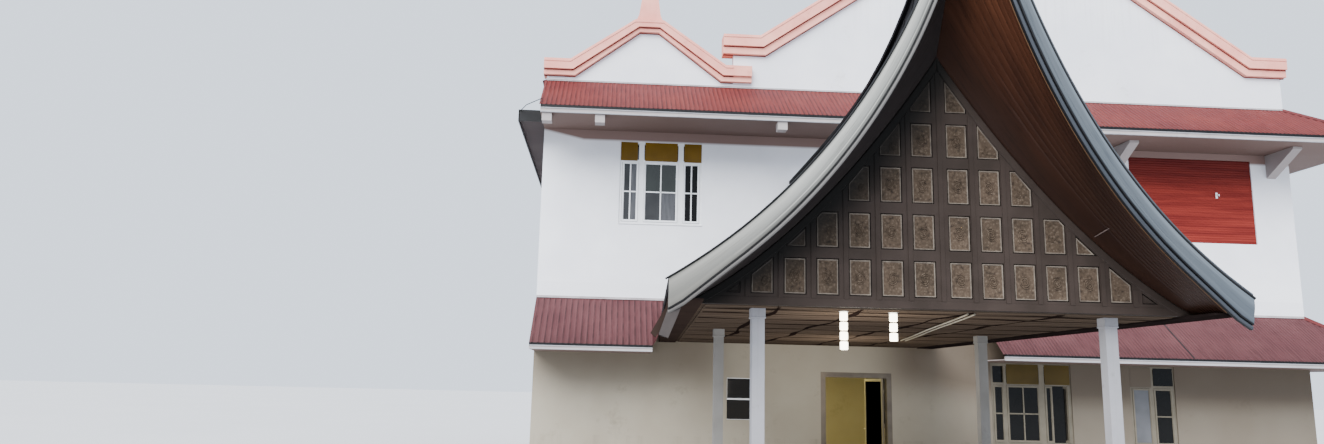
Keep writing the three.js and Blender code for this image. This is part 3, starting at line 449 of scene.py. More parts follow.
# The back columns are darker than the front ones: painted shade deep under the porch roof
shaded_back_column_paint = painted("shaded_back_column_paint", (118, 116, 113), (109, 107, 103), (69, 65, 59),
                            patch_size=0.5, rough=(0.45, 0.6))
column_paint = painted("column_paint", (141, 140, 144), (133, 133, 137), (85, 82, 78), patch_size=0.5,
                       streak=(2.9, 2.6, 0.05, 0.2), rough=(0.45, 0.6))
aluminium = painted("door_frame_metal", (95, 87, 76), (84, 76, 68), (48, 41, 35), soil=0.25,
                    patch_size=0.3, rough=(0.3, 0.45), relief=0.0006, Metallic=0.7)
hardware = painted("fitting_metal", (190, 190, 190), (165, 165, 165), (80, 78, 75), patch_size=0.1,
                   rough=(0.25, 0.4), relief=0.0004, Metallic=0.9)
dark_metal = painted("black_edge_metal", (15, 15, 17), (10, 10, 12), (37, 33, 30), soil=0.2, patch_size=0.4,
                     rough=(0.4, 0.6), relief=0.001)
left_eave_paint = painted("left_eave_paint", (46, 37, 33), (39, 31, 28), (22, 17, 15), soil=0.35,
                          patch_size=0.4, **NO_SHINE)
right_eave_paint = painted("right_eave_paint", (30, 24, 23), (25, 20, 19), (15, 12, 11), patch_size=0.5,
                           **NO_SHINE)
shelf_paint = painted("gutter_shelf_paint", (48, 34, 33), (41, 28, 28), (27, 17, 15), soil=0.35)
upper_sheet = roof_sheet_paint("upper_awning_sheet", (99, 42, 38), (89, 36, 36), (37, 10, 11), 7.7, 8.1)
lower_sheet = roof_sheet_paint("lower_awning_sheet", (82, 49, 51), (71, 39, 42), (33, 13, 15), 2.65, 3.1)
main_sheet = roof_sheet_paint("main_roof_sheet", (89, 39, 40), (79, 32, 35), (42, 14, 16), 8.7, 9.4)
cap_paint = painted("hip_cap_paint", (89, 36, 36), (77, 30, 31), (39, 14, 15), soil=0.4, patch_size=0.5)
clad_paint = clad_panel_paint()
carving = carved_stone()
# Rim of the carved panels, lighter than their face, with painted shade near the gable's left edge
carved_rim_paint = painted("carved_panel_rim", (106, 97, 87), (84, 75, 67), (44, 37, 33), soil=0.6,
                   patch_size=0.12, tooth=90.0, gable_shade=0.85)
panel_backing = painted("gable_backing_paint", (30, 24, 23), (24, 20, 20), (18, 15, 15), patch_size=0.4)
# Gable frame paint, with painted shade near the gable's left edge
gable_wood = painted("gable_frame_paint", (51, 43, 39), (43, 36, 32), (29, 22, 20), soil=0.35, patch_size=0.5,
                     tooth=40.0, rough=(0.5, 0.7), gable_shade=0.95, Specular_IOR_Level=0.08)
ceiling_wood = ceiling_boards()
ceiling_joint = painted("ceiling_joint_paint", (28, 21, 18), (22, 16, 14), (14, 10, 9), patch_size=0.3,
                        **NO_SHINE)
# Left lining near black as painted shade; right lining lit, with warm painted light on top and a painted
# highlight rim
lining_left_wood = edge_following("roof_lining_left_wood", (36, 33, 33), (43, 38, 37), (22, 20, 20), 8.0,
                                  2.0, lines=26.0)
lining_right_wood = edge_following("roof_lining_right_wood", (32, 19, 16), (49, 31, 22), (15, 11, 9), 8.0,
                                   2.0, lines=26.0, glow=((97, 58, 40), 0.3, 0.8))
lining_rim = edge_following("lining_rim_strip", (80, 59, 40), (97, 71, 49), (41, 29, 22), 8.0, 0.03)
lining_flat = painted("roof_lining_edge", (34, 22, 19), (27, 18, 16), (16, 11, 10))
stick_paint = painted("lining_stick_paint", (104, 90, 86), (94, 80, 76), (60, 50, 46), patch_size=0.1)
# Right board, trim and edge are darker and bluer than the left: painted shade and painted sky reflection
board_left_paint = edge_following(
    "barge_board_left_paint", (164, 164, 158), (150, 150, 145), (96, 94, 88), 9.0, 0.3, lines=24.0,
    rough=(0.35, 0.5), foot=(0.08, 0.28, 0.8),
    tones=[(0.0, 0.2), (0.08, 0.5), (0.18, 0.78), (0.5, 0.8), (0.65, 0.82), (0.78, 0.62), (0.92, 0.45),
           (1.0, 0.15)])
board_right_paint = edge_following(
    "barge_board_right_paint", (134, 144, 152), (122, 132, 142), (66, 74, 84), 9.0, 0.3, lines=24.0,
    rough=(0.35, 0.5), foot=(0.06, 0.2, 0.4),
    tones=[(0.0, 0.12), (0.1, 0.34), (0.2, 0.45), (0.36, 0.5), (0.5, 0.36), (0.85, 0.37), (0.95, 0.3),
           (1.0, 0.15)])
board_left_flat = painted("barge_board_left_edge", (34, 34, 34), (27, 27, 28), (16, 16, 16))
board_right_flat = painted("barge_board_right_edge", (26, 27, 30), (20, 21, 24), (12, 12, 13))
trim_left_paint = edge_following("barge_trim_left_paint", (107, 105, 102), (96, 94, 92), (58, 53, 51),
                                 9.0, 0.08, lines=30.0, rough=(0.35, 0.5), foot=(0.08, 0.25, 0.5))
trim_right_paint = edge_following("barge_trim_right_paint", (62, 66, 72), (50, 54, 60), (28, 28, 32),
                                  9.0, 0.08, lines=30.0, rough=(0.35, 0.5))
trim_tail_paint = painted("barge_trim_tail_paint", (57, 52, 50), (50, 45, 44), (30, 26, 25), patch_size=0.2)
dark_sheet = painted("porch_roof_sheet", (27, 26, 28), (21, 20, 22), (42, 36, 33), patch_size=0.9,
                     rough=(0.5, 0.7), Specular_IOR_Level=0.03)
clear_glass = glazing("window_glass", (38, 46, 54), 0.35, shine=0.5)
amber_glass = glazing("amber_glass", (126, 92, 2), 0.25, rough=0.2, glow=0.06, shine=0.08)
olive_glass = glazing("olive_glass", (88, 70, 16), 0.2, rough=0.2, glow=0.03)
door_glass = glazing("door_glass", (78, 92, 104), 0.0, shine=0.2)
sash_glass = glazing("open_sash_pane", (66, 61, 54), 0.1)
dark_glass = glazing("dark_pane", (22, 22, 22), 0.1, shine=0.08)
dim_glass = glazing("dim_pane", (43, 47, 43), 0.1, shine=0.5)
# The pale pane's colour is a painted reflection
pale_glass = glazing("pale_pane", (107, 108, 112), 0.05, shine=0.3)
grey_glass = glazing("grey_pane", (66, 67, 69), 0.05)
brown_glass = glazing("brown_pane", (26, 20, 11), 0.1)
striped_glass = curtained_glass()
lamp_light = lamp_glow()


def clear_selection():
    if bpy.context.object and bpy.context.object.mode != "OBJECT":
        bpy.ops.object.mode_set(mode="OBJECT")
    bpy.ops.object.select_all(action="DESELECT")


def take(piece):
    """Selects one piece and nothing else."""
    clear_selection()
    piece.select_set(True)
    bpy.context.view_layer.objects.active = piece


def pick(piece, chosen):
    """Opens a piece for editing with the faces selected whose middle and normal the rule accepts."""
    take(piece)
    bpy.ops.object.mode_set(mode="EDIT")
    bpy.ops.mesh.select_mode(type="FACE")
    bpy.ops.mesh.select_all(action="DESELECT")
    bpy.ops.object.mode_set(mode="OBJECT")
    for face in piece.data.polygons:
        face.select = chosen(face.center, face.normal)
    bpy.ops.object.mode_set(mode="EDIT")


def put_down():
    bpy.ops.object.mode_set(mode="OBJECT")


def open_whole(piece):
    """Opens a piece for editing with all of it selected."""
    take(piece)
    bpy.ops.object.mode_set(mode="EDIT")
    bpy.ops.mesh.select_all(action="SELECT")


def face_outwards(piece):
    """Turns a closed piece's faces outwards."""
    open_whole(piece)
    bpy.ops.mesh.normals_make_consistent(inside=False)
    put_down()


def settle(piece):
    """Moves a piece's place, turn and size into its mesh."""
    take(piece)
    bpy.ops.object.transform_apply(location=True, rotation=True, scale=True)
    return piece


def shape_by(piece, kind, **settings):
    """Applies one modifier to a piece."""
    take(piece)
    made = piece.modifiers.new(kind.lower(), kind)
    for key, value in settings.items():
        setattr(made, key, value)
    bpy.ops.object.modifier_apply(modifier=made.name)
    return piece


def block(name, low, high):
    """Squared blank between two corners."""
    clear_selection()
    bpy.ops.mesh.primitive_cube_add(size=1, location=[(a + b) / 2 for a, b in zip(low, high)])
    piece = bpy.context.object
    piece.name = name
    piece.scale = [b - a for a, b in zip(low, high)]
    return settle(piece)


def strip(name, section, axis, start, end):
    """Moulding with one flat section, extruded along X or Y."""
    clear_selection()
    bpy.ops.mesh.primitive_circle_add(vertices=len(section), radius=1, fill_type="NGON")
    piece = bpy.context.object
    piece.name = name
    for corner, (a, b) in zip(piece.data.vertices, section):
        corner.co = (start, a, b) if axis == "x" else (a, start, b)
    run = (end - start, 0, 0) if axis == "x" else (0, end - start, 0)
    open_whole(piece)
    bpy.ops.mesh.extrude_region_move(TRANSFORM_OT_translate={"value": run})
    face_outwards(piece)
    return piece


def along_front(name, section, start, end):
    """Moulding along the front awnings between two places, from (out, level)."""
    return strip(name, [(FRONT - out, level) for out, level in section], "x", start, end)


def wrapped(name, section, start):
    """Moulding along the front awning, mitred at the corner and along the right awning, from (out, level)."""
    piece = along_front(name, section, start, RIGHT)
    for corner in piece.data.vertices:
        if corner.co.x > RIGHT - 0.001:
            corner.co.x = RIGHT + FRONT - corner.co.y
    pick(piece, lambda middle, normal: normal.x > 0.5 and middle.x > RIGHT - 0.001)
    bpy.ops.mesh.extrude_region_move(TRANSFORM_OT_translate={"value": (0, 0.5, 0)})
    put_down()
    for corner in piece.data.vertices:
        if corner.select:
            corner.co.y = BACK
    face_outwards(piece)
    return piece


def soften(piece, width, segments=2):
    """Rounds the sharp edges of a piece."""
    return shape_by(piece, "BEVEL", width=width, segments=segments, limit_method="ANGLE",
                    angle_limit=math.radians(40))


def soft_block(name, low, high, width, segments=1):
    return soften(block(name, low, high), width, segments)


def trim_off(piece, point, normal):
    """Cuts away what lies beyond a plane and closes the cut."""
    open_whole(piece)
    bpy.ops.mesh.bisect(plane_co=point, plane_no=normal, use_fill=True, clear_outer=True)
    put_down()
    return piece


def copy_of(piece, name, move=(0, 0, 0)):
    take(piece)
    bpy.ops.object.duplicate()
    twin = bpy.context.object
    twin.name = name
    bpy.ops.transform.translate(value=move)
    return twin


def join(name, pieces):
    """Makes one piece of several; the first one keeps its materials in front."""
    clear_selection()
    for piece in pieces:
        piece.select_set(True)
    bpy.context.view_layer.objects.active = pieces[0]
    if len(pieces) > 1:
        bpy.ops.object.join()
    whole = bpy.context.object
    whole.name = name
    return whole


def coat(piece, material):
    piece.data.materials.clear()
    piece.data.materials.append(material)
    return piece


def finish_piece(piece, material=None, body="house", smooth=None):
    """Settles a piece's place in its mesh and says what it rides on and which finish it has."""
    settle(piece)
    if smooth:
        bpy.ops.object.shade_smooth_by_angle(angle=math.radians(smooth))
    if material:
        coat(piece, material)
    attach(piece, body)
    return piece


def bent_sheet(name, across, along, rule, facing, thick=0.0):
    """Sheet whose points follow a rule of two shares; it keeps its flat layout and faces a given way."""
    clear_selection()
    bpy.ops.mesh.primitive_grid_add(x_subdivisions=across, y_subdivisions=along, size=1)
    piece = bpy.context.object
    piece.name = name
    for corner in piece.data.vertices:
        corner.co = rule(corner.co.x + 0.5, corner.co.y + 0.5)
    if sum(face.normal.dot(Vector(facing)) for face in piece.data.polygons) < 0:
        open_whole(piece)
        bpy.ops.mesh.flip_normals()
        put_down()
    return shape_by(piece, "SOLIDIFY", thickness=thick, offset=-1) if thick else piece


def rod(name, points, radius, sides=8):
    """Round bar through a row of points."""
    clear_selection()
    bpy.ops.curve.primitive_bezier_curve_add()
    line = bpy.context.object
    line.name = name
    curve = line.data
    curve.splines.clear()
    spline = curve.splines.new("POLY")
    spline.points.add(len(points) - 1)
    for mark, point in zip(spline.points, points):
        mark.co = (*point, 1)
    curve.dimensions = "3D"
    curve.bevel_depth = radius
    curve.bevel_resolution = max(sides // 4, 0)
    curve.use_fill_caps = True
    bpy.ops.object.convert(target="MESH")
    return bpy.context.object


def corrugated(name, pitch, length, slope, crest=0.009):
    """Corrugated sheet in its own frame: waves follow each other along X, each runs down along Y."""
    clear_selection()
    columns = 6
    bpy.ops.mesh.primitive_grid_add(x_subdivisions=columns, y_subdivisions=1, size=1,
                                    location=(pitch / 2, slope / 2, 0))
    piece = bpy.context.object
    piece.name = name
    piece.scale = (pitch, slope, 1)
    settle(piece)
    for column in range(columns + 1):
        open_whole(piece)
        bpy.ops.mesh.select_mode(type="VERT")
        bpy.ops.mesh.select_all(action="DESELECT")
        put_down()
        for corner in piece.data.vertices:
            corner.select = abs(corner.co.x - pitch * column / columns) < pitch / 20
        bpy.ops.object.mode_set(mode="EDIT")
        bpy.ops.transform.translate(value=(0, 0, crest * math.cos(math.tau * column / columns)))
        put_down()
    shape_by(piece, "ARRAY", count=math.ceil(length / pitch), relative_offset_displace=(1, 0, 0),
             use_merge_vertices=True, merge_threshold=0.0005)
    shape_by(piece, "SOLIDIFY", thickness=0.0014)
    return trim_off(piece, (length, 0, 0), (1, 0, 0))


def lay(piece, corner, along, down):
    """Lays a sheet made in its own frame at a corner, along one direction and down another."""
    along, down = Vector(along).normalized(), Vector(down).normalized()
    turn = Matrix((along, down, along.cross(down))).transposed().to_4x4()
    piece.matrix_world = Matrix.Translation(corner) @ turn
    return settle(piece)


def gable_line(gable, layer, lower=0.0):
    """Outline of one coping layer in X and Z, from end to end."""
    knee, level, flat, slope = gable["layers"][layer]
    top = level + (knee - flat) * slope
    axis, end = gable["axis"], gable["end"]
    return [(x, z - lower) for x, z in (
        (axis - end, level), (axis - knee, level), (axis - flat, top), (axis + flat, top),
        (axis + knee, level), (min(axis + end, gable["stop"]), level))]


def build_copings():
    """Painted shadow lines under both steps of each coping, and a rolled edge on its top."""
    for side, face, out in (("front", FRONT, -1), ("back", BACK, 1)):
        for size, gable in (("small", SMALL_GABLE), ("large", LARGE_GABLE)):
            pieces = []
            for layer, proud, deep in ((1, 0.108, 0.026), (2, 0.008, 0.022)):
                section = gable_line(gable, layer, 0.004) + gable_line(gable, layer, deep)[::-1]
                near, far = sorted((face + out * proud, face + out * (proud - 0.02)))
                pieces.append(strip("line", section, "y", near, far))
            finish_piece(join(f"{size}_coping_lines_{side}", pieces), coping_line)
            section = gable_line(gable, 0, 0.03) + gable_line(gable, 0, 0.075)[::-1]
            near, far = sorted((face + out * 0.172, face + out * 0.15))
            finish_piece(soften(strip(f"{size}_coping_nose_{side}", section, "y", near, far), 0.008),
                         coping_paint)


def awning_sheet(name, awning, start, end, pitch, material, side="front"):
    """One run of corrugated sheet, cut to the mitre at the corner."""
    drop = awning["top"] - awning["edge"]
    level = awning["top"] + 0.004
    sheet = corrugated(name, pitch, end - start, math.hypot(REACH, drop) + 0.02)
    if side == "front":
        lay(sheet, (start, FRONT, level), (1, 0, 0), (0, -REACH, -drop))
        if end > RIGHT:
            trim_off(sheet, (RIGHT, FRONT, 0), (1, 1, 0))
    else:
        lay(sheet, (RIGHT, start, level), (0, 1, 0), (REACH, 0, -drop))
        trim_off(sheet, (RIGHT, FRONT, 0), (-1, -1, 0))
    return finish_piece(sheet, material, smooth=50)


def trim_awning(name, run, awning, make):
    """Two ribs on the fascia, the dark batten over them, and the flashing at the wall, along one run."""
    edge, soffit, top = awning["edge"], awning["soffit"], awning["top"]
    ledge = edge - awning["moulding"]
    ribs = [make("rib", [(REACH - 0.004, ledge), (REACH + 0.014, ledge), (REACH + 0.014, ledge - 0.028),
                         (REACH - 0.004, ledge - 0.034)]),
            make("rib", [(REACH - 0.004, soffit + 0.03), (REACH + 0.01, soffit + 0.024),
                         (REACH + 0.01, soffit - 0.004), (REACH - 0.03, soffit - 0.004)])]
    finish_piece(soften(join(f"{name}_fascia_moulding_{run}", ribs), 0.003), fascia_paint)
    batten = make(f"{name}_sheet_batten_{run}", [(REACH - 0.06, ledge - 0.006), (REACH + 0.02, ledge - 0.006),
                                                 (REACH + 0.02, edge - 0.012), (REACH - 0.06, edge + 0.02)])
    finish_piece(batten, dark_metal)
    flashing = make(f"{name}_awning_flashing_{run}", [
        (0.0, top + 0.034), (0.008, top + 0.034), (0.01, top + 0.022), (0.05, top - 0.012),
        (0.05, top - 0.018), (0.0, top + 0.012)])
    if run == "left":
        pick(flashing, lambda middle, normal: normal.x > 0.5)
        bpy.ops.transform.translate(value=(LOWER_LEFT_END_AT_WALL - LOWER_LEFT_END, 0, 0))
        put_down()
    finish_piece(flashing, flashing_paint)


def build_awnings():
    """Corrugated sheets of both awnings, their trim, and the caps on their hips."""
    upper, lower = UPPER_AWNING, LOWER_AWNING
    edge, corner, back = FRONT - REACH, RIGHT + REACH, BACK + 0.03
    awning_sheet("upper_front_sheets", upper, LEFT - 0.03, corner, 0.1, upper_sheet)
    awning_sheet("upper_side_sheets", upper, edge, back, 0.1, upper_sheet, side="right")
    left_run = awning_sheet("lower_left_sheets", lower, LEFT, LOWER_LEFT_END_AT_WALL, 0.124, lower_sheet)
    trim_off(left_run, (LOWER_LEFT_END + 0.02, edge, 0), (REACH, LOWER_LEFT_END - LOWER_LEFT_END_AT_WALL, 0))
    awning_sheet("lower_right_sheets", lower, LOWER_RIGHT_START - 0.03, corner, 0.076, lower_sheet)
    awning_sheet("lower_side_sheets", lower, edge, back, 0.076, lower_sheet, side="right")
    trim_awning("upper", "right", upper, lambda label, section: wrapped(label, section, LEFT))
    trim_awning("lower", "right", lower, lambda label, section: wrapped(label, section, LOWER_RIGHT_START))
    trim_awning("lower", "left", lower,
                lambda label, section: along_front(label, section, LEFT, LOWER_LEFT_END))
    for name, awning in (("upper", upper), ("lower", lower)):
        hip = Vector((REACH + 0.01, -REACH - 0.01, awning["edge"] - awning["top"]))
        start = Vector((RIGHT, FRONT, awning["top"] + 0.012))

        def folded(u, v):
            aside = Vector((1, 1, 0)).normalized() * (u - 0.5) * 0.2
            return start + hip * v + aside + Vector((0, 0, 0.03 - 0.16 * abs(u - 0.5)))

        finish_piece(bent_sheet(f"{name}_hip_cap", 6, 1, folded, (0, 0, 1), 0.003), cap_paint,
                     smooth=30)
    lap = strip("lower_sheet_lap", [(edge, lower["edge"] + 0.02), (edge, lower["edge"] + 0.012),
                                    (FRONT, lower["top"] + 0.012), (FRONT, lower["top"] + 0.022)],
                "x", 8.27, 8.3)
    finish_piece(lap, dark_metal)


def build_main_roofs():
    """Corrugated sheets on both slopes of each roof, and a cap on its ridge."""
    y0, y1 = FRONT + 0.2605, BACK - 0.2605
    for size, roof in (("small", SMALL_ROOF), ("large", LARGE_ROOF)):
        axis, ridge = roof["axis"], roof["ridge"]
        drop = ridge - ROOF_FOOT
        sheets = []
        for end, start, ahead in (("left", y1, -1), ("right", y0, 1)):
            run = roof[end] - axis
            sheet = corrugated("sheet", 0.1, y1 - y0, math.hypot(run, drop) + 0.03, crest=0.01)
            sheets.append(lay(sheet, (axis, start, ridge + 0.012), (0, ahead, 0), (run, 0, -drop)))
        finish_piece(join(f"{size}_roof_sheets", sheets), main_sheet, smooth=50)
        wing = 0.2
        low = ridge - wing * drop / (roof["right"] - axis)
        cap = strip(f"{size}_roof_ridge_cap", [
            (axis - wing, low + 0.022), (axis - 0.04, ridge + 0.035), (axis, ridge + 0.055),
            (axis + 0.04, ridge + 0.035), (axis + wing, low + 0.022), (axis + wing, low + 0.01),
            (axis, ridge + 0.028), (axis - wing, low + 0.01)], "y", y0, y1)
        finish_piece(soften(cap, 0.006), main_sheet)


def window_sash(name, x0, x1, z0, z1, y, bar=0.042, deep=0.034, uprights=0, crosses=0):
    """Moulded sash: a blank whose openings are inset and pushed through."""
    piece = block(name, (x0, y - deep, z0), (x1, y, z1))
    pick(piece, lambda middle, normal: normal.y < -0.5)
    bpy.ops.mesh.inset(thickness=bar, depth=0)
    bpy.ops.mesh.extrude_region_move(TRANSFORM_OT_translate={"value": (0, 0.012, 0)})
    bpy.ops.mesh.inset(thickness=0.012, depth=0)
    bpy.ops.mesh.extrude_region_move(TRANSFORM_OT_translate={"value": (0, deep - 0.016, 0)})
    bpy.ops.mesh.delete(type="FACE")
    put_down()
    pick(piece, lambda middle, normal: normal.y > 0.5)
    bpy.ops.mesh.delete(type="FACE")
    put_down()
    take(piece)
    bpy.ops.object.mode_set(mode="EDIT")
    bpy.ops.mesh.select_mode(type="EDGE")
    bpy.ops.mesh.select_all(action="DESELECT")
    bpy.ops.mesh.select_non_manifold()
    bpy.ops.mesh.bridge_edge_loops()
    face_outwards(piece)
    parts = [piece]
    wide, tall = x1 - x0, z1 - z0
    for i in range(uprights):
        x = x0 + wide * (i + 1) / (uprights + 1)
        parts.append(block("bar", (x - 0.014, y - deep + 0.006, z0 + bar), (x + 0.014, y - 0.004, z1 - bar)))
    for i in range(crosses):
        z = z0 + tall * (i + 1) / (crosses + 1)
        parts.append(block("bar", (x0 + bar, y - deep + 0.006, z - 0.014), (x1 - bar, y - 0.004, z + 0.014)))
    return soften(join(name, parts), 0.003)


def pane(name, x0, x1, z0, z1, y):
    """Glass sheet with ground edges."""
    return soft_block(name, (x0, y - 0.003, z0), (x1, y, z1), 0.001)


def front_window(label, hole, ambers, bays, paint, amber):
    """Sashes, panes and transom panes of a front window, each bay with its own panes.

    A bay is (low x, high x, uprights, crosses, panes), and a pane is (its shares of the bay, its material).
    """
    left, right, bottom, top = hole
    transom = top - TRANSOM_DROP
    low, high = bottom + 0.055, transom - 0.0275
    margin = 0.012
    bars, panes = [], {}
    for x0, x1, uprights, crosses, glass in bays:
        bars.append(window_sash("sash", x0 + 0.004, x1 - 0.004, low + 0.004, high - 0.004, FRAME_FACE + 0.02,
                                bar=0.03, uprights=uprights, crosses=crosses))
        for (a, b, c, d), material in glass:
            sheet = pane("pane", x0 + (x1 - x0) * a + margin, x0 + (x1 - x0) * b - margin,
                         low + (high - low) * c + margin, low + (high - low) * d - margin, FRAME_FACE + 0.012)
            panes.setdefault(material, []).append(sheet)
    finish_piece(join(f"{label}_sashes", bars), paint)
    for material, sheets in panes.items():
        finish_piece(join(f"{label}_{material.name}_panes", sheets), material)
    if ambers:
        near, far = FRAME_FACE - 0.006, FRAME_FACE - 0.001
        sheets = [soft_block("amber", (x0, near, transom), (x1, far, top - margin), 0.002)
                  for x0, x1 in ambers]
        finish_piece(join(f"{label}_transom_panes", sheets), amber)
    section = [(FRONT + 0.02, bottom + 0.012), (FRONT - 0.014, bottom + 0.008),
               (FRONT - 0.014, bottom - 0.012), (FRONT + 0.002, bottom - 0.012)]
    sill = strip(f"{label}_sill", section, "x", left - 0.01, right + 0.01)
    finish_piece(soften(sill, 0.004), paint)


def opened_sash(name, hinge, wide, z0, z1, turn, material):
    """A casement standing open on its hinge line, with a pane in its frame."""
    sash = window_sash(name, -wide, 0, z0, z1, 0.0, bar=0.045)
    glass = pane(f"{name}_pane", -wide + 0.03, -0.03, z0 + 0.03, z1 - 0.03, -0.014)
    for piece in (sash, glass):
        open_whole(piece)
        bpy.ops.transform.rotate(value=turn, orient_axis="Z", center_override=(0, 0, 0))
        bpy.ops.transform.translate(value=(*hinge, 0))
        put_down()
    finish_piece(sash, shaded_frame_paint)
    finish_piece(glass, material)


def build_front_windows():
    """The front wall's windows: sashes, panes, the open casement, and the porch window's panes and rail."""
    whole, lower_left, lower_right = (0.0, 1.0, 0.0, 1.0), (0.0, 0.5, 0.0, 0.5), (0.5, 1.0, 0.0, 0.5)
    upper_left, upper_right = (0.0, 0.5, 0.5, 1.0), (0.5, 1.0, 0.5, 1.0)
    left_half, right_half = (0.0, 0.5, 0.0, 1.0), (0.5, 1.0, 0.0, 1.0)
    plain_dark = [(whole, dark_glass)]
    front_window(
        "upper_window", UPPER_WINDOW, [(-4.045, -3.66), (-3.49, -2.745), (-2.59, -2.19)],
        [(-4.0, -3.629, 1, 1, [(left_half, grey_glass), (right_half, striped_glass)]),
         (-3.509, -2.726, 1, 1, [(upper_left, dim_glass), (upper_right, dim_glass), (lower_left, grey_glass),
                                 (lower_right, striped_glass)]),
         (-2.606, -2.231, 1, 1, plain_dark)], window_paint, amber_glass)
    front_window(
        "hall_window", HALL_WINDOW, [(4.76, 5.495), (5.635, 6.215)],
        [(4.441, 4.69, 0, 1, plain_dark), (4.75, 5.505, 1, 1, plain_dark), (5.625, 5.8, 0, 0, plain_dark)],
        shaded_frame_paint, olive_glass)
    opened_sash("hall_window_open_sash", (6.17, FRONT + 0.01), 0.36, 0.82, 2.06, math.radians(62), sash_glass)
    front_window(
        "side_room_window", SIDE_ROOM_WINDOW, [],
        [(7.655, 8.09, 0, 0, [(whole, pale_glass)]), (8.16, 8.595, 0, 1, plain_dark)], shaded_frame_paint,
        olive_glass)

    def panel(name, x0, x1, z0, z1, proud, edge=0.003, steps=1):
        """Panel that stands proud of the window frames' face."""
        return soft_block(name, (x0, FRAME_FACE - proud, z0), (x1, FRAME_FACE - 0.001, z1), edge, steps)

    finish_piece(panel("side_room_transom_board", 7.612, 8.11, 2.085, 2.528, 0.012),
                 lower_plaster)
    finish_piece(panel("side_room_transom_pane", 8.17, 8.62, 2.12, 2.51, 0.008, 0.002),
                 dark_glass)
    panes = [panel("upper", -1.545, -0.915, 1.645, 2.066, 0.01),
             panel("lower", -1.556, -0.904, 1.194, 1.606, 0.02)]
    finish_piece(join("porch_window_panes", panes), brown_glass)
    finish_piece(panel("porch_window_rail", -1.556, -0.904, 1.61, 1.64, 0.026, 0.004, 2),
                 window_paint)


def build_plain_windows():
    """Sliding pairs with a transom, modelled once for each storey and set in every plain hole."""
    for storey, (bottom, top) in PLAIN_WINDOWS.items():
        transom, y = top - TRANSOM_DROP, -0.05
        unit = join("unit", [
            window_sash("part", -0.748, 0.748, bottom + 0.002, top - 0.002, y + 0.03, bar=0.05, deep=0.06),
            block("part", (-0.7, y - 0.03, transom - 0.025), (0.7, y + 0.025, transom + 0.025)),
            window_sash("part", -0.7, 0.02, bottom + 0.05, transom - 0.025, y),
            window_sash("part", -0.02, 0.7, bottom + 0.05, transom - 0.025, y + 0.02),
            strip("part", [(-0.02, bottom + 0.02), (-0.16, bottom + 0.004), (-0.16, bottom - 0.05),
                           (-0.098, bottom - 0.05)], "x", -0.8, 0.8)])
        units = []
        for x in BACK_WINDOWS:
            units.append(copy_of(unit, "unit"))
            bpy.ops.transform.rotate(value=math.pi, orient_axis="Z", center_override=(0, 0, 0))
            bpy.ops.transform.translate(value=(x, BACK - 0.1, 0))
        finish_piece(join(f"back_window_frames_{storey}", units), window_paint)
        units = []
        for y in RIGHT_WINDOWS:
            units.append(copy_of(unit, "unit"))
            units[-1].rotation_euler.z = math.pi / 2
            bpy.ops.transform.translate(value=(RIGHT - 0.1, y, 0))
        finish_piece(join(f"right_window_frames_{storey}", units), window_paint)
        take(unit)
        bpy.ops.object.delete()
        low, high = bottom - 0.1, top + 0.1
        sheets = [soft_block("sheet", (x - 0.85, BACK - 0.211, low), (x + 0.85, BACK - 0.205, high), 0.001)
                  for x in BACK_WINDOWS]
        glass = finish_piece(join(f"back_window_panes_{storey}", sheets), clear_glass)
        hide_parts(f"back_windows_{storey}")
        sheets = [soft_block("sheet", (RIGHT - 0.211, y - 0.85, low), (RIGHT - 0.205, y + 0.85, high), 0.001)
                  for y in RIGHT_WINDOWS]
        glass = finish_piece(join(f"right_window_panes_{storey}", sheets), clear_glass)
        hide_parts(f"right_windows_{storey}")


def build_clad_panel():
    """Level ribs over the clad panel, and a small fitting."""
    x0, x1, z0, z1 = CLAD_PANEL
    count = 36
    pitch = (z1 - z0) / count
    rib = ((0.008, 0.12), (0.01, 0.5), (0.002, 0.9))
    section = [(FRAME_FACE + 0.004, z0)]
    for i in range(count):
        section += [(FRAME_FACE - out, z0 + i * pitch + pitch * share) for out, share in rib]
    section += [(FRAME_FACE + 0.004, z1)]
    finish_piece(strip("clad_panel_ribs", section, "x", x0 + 0.01, x1 - 0.01), clad_paint)
    plate = soft_block("plate", (10.02, FRAME_FACE - 0.022, 6.52), (10.07, FRAME_FACE - 0.006, 6.66), 0.004,
                       2)
    arm = rod("arm", [(10.045, FRAME_FACE - 0.02, 6.6), (10.045, FRAME_FACE - 0.1, 6.6),
                      (10.03, FRAME_FACE - 0.12, 6.56)], 0.014)
    finish_piece(join("clad_panel_fitting", [plate, arm]), window_paint)


def build_door():
    """Glass in both faces of the leaf, its middle rail and its handles."""
    low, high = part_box("door_leaf")
    y0, y1 = low[1] + 0.064, high[1] - 0.062
    z0, z1 = low[2] + 0.062, high[2] - 0.062
    middle_x = (low[0] + high[0]) / 2
    for side, x in (("inner", middle_x - 0.0105), ("outer", middle_x + 0.0045)):
        glass = soft_block(f"door_glass_{side}", (x, y0, z0), (x + 0.006, y1, z1), 0.001)
        finish_piece(glass, door_glass, body="door")
    rail = soft_block("door_middle_rail", (middle_x - 0.019, y0, 0.54), (middle_x + 0.019, y1, 0.62), 0.004,
                      2)
    finish_piece(rail, leaf_paint, body="door")
    handles = []
    y = high[1] - 0.035
    for sign in (-1, 1):
        at = middle_x + sign * 0.02
        grip = at + sign * 0.045
        handles.append(rod("handle", [(at, y, 0.98), (grip, y, 0.98), (grip, y - 0.11, 0.98)], 0.009))
        near, far = sorted((at, at + sign * 0.004))
        handles.append(soft_block("plate", (near, y - 0.02, 0.9), (far, y + 0.02, 1.06), 0.001))
    finish_piece(join("door_handles", handles), hardware, body="door", smooth=40)


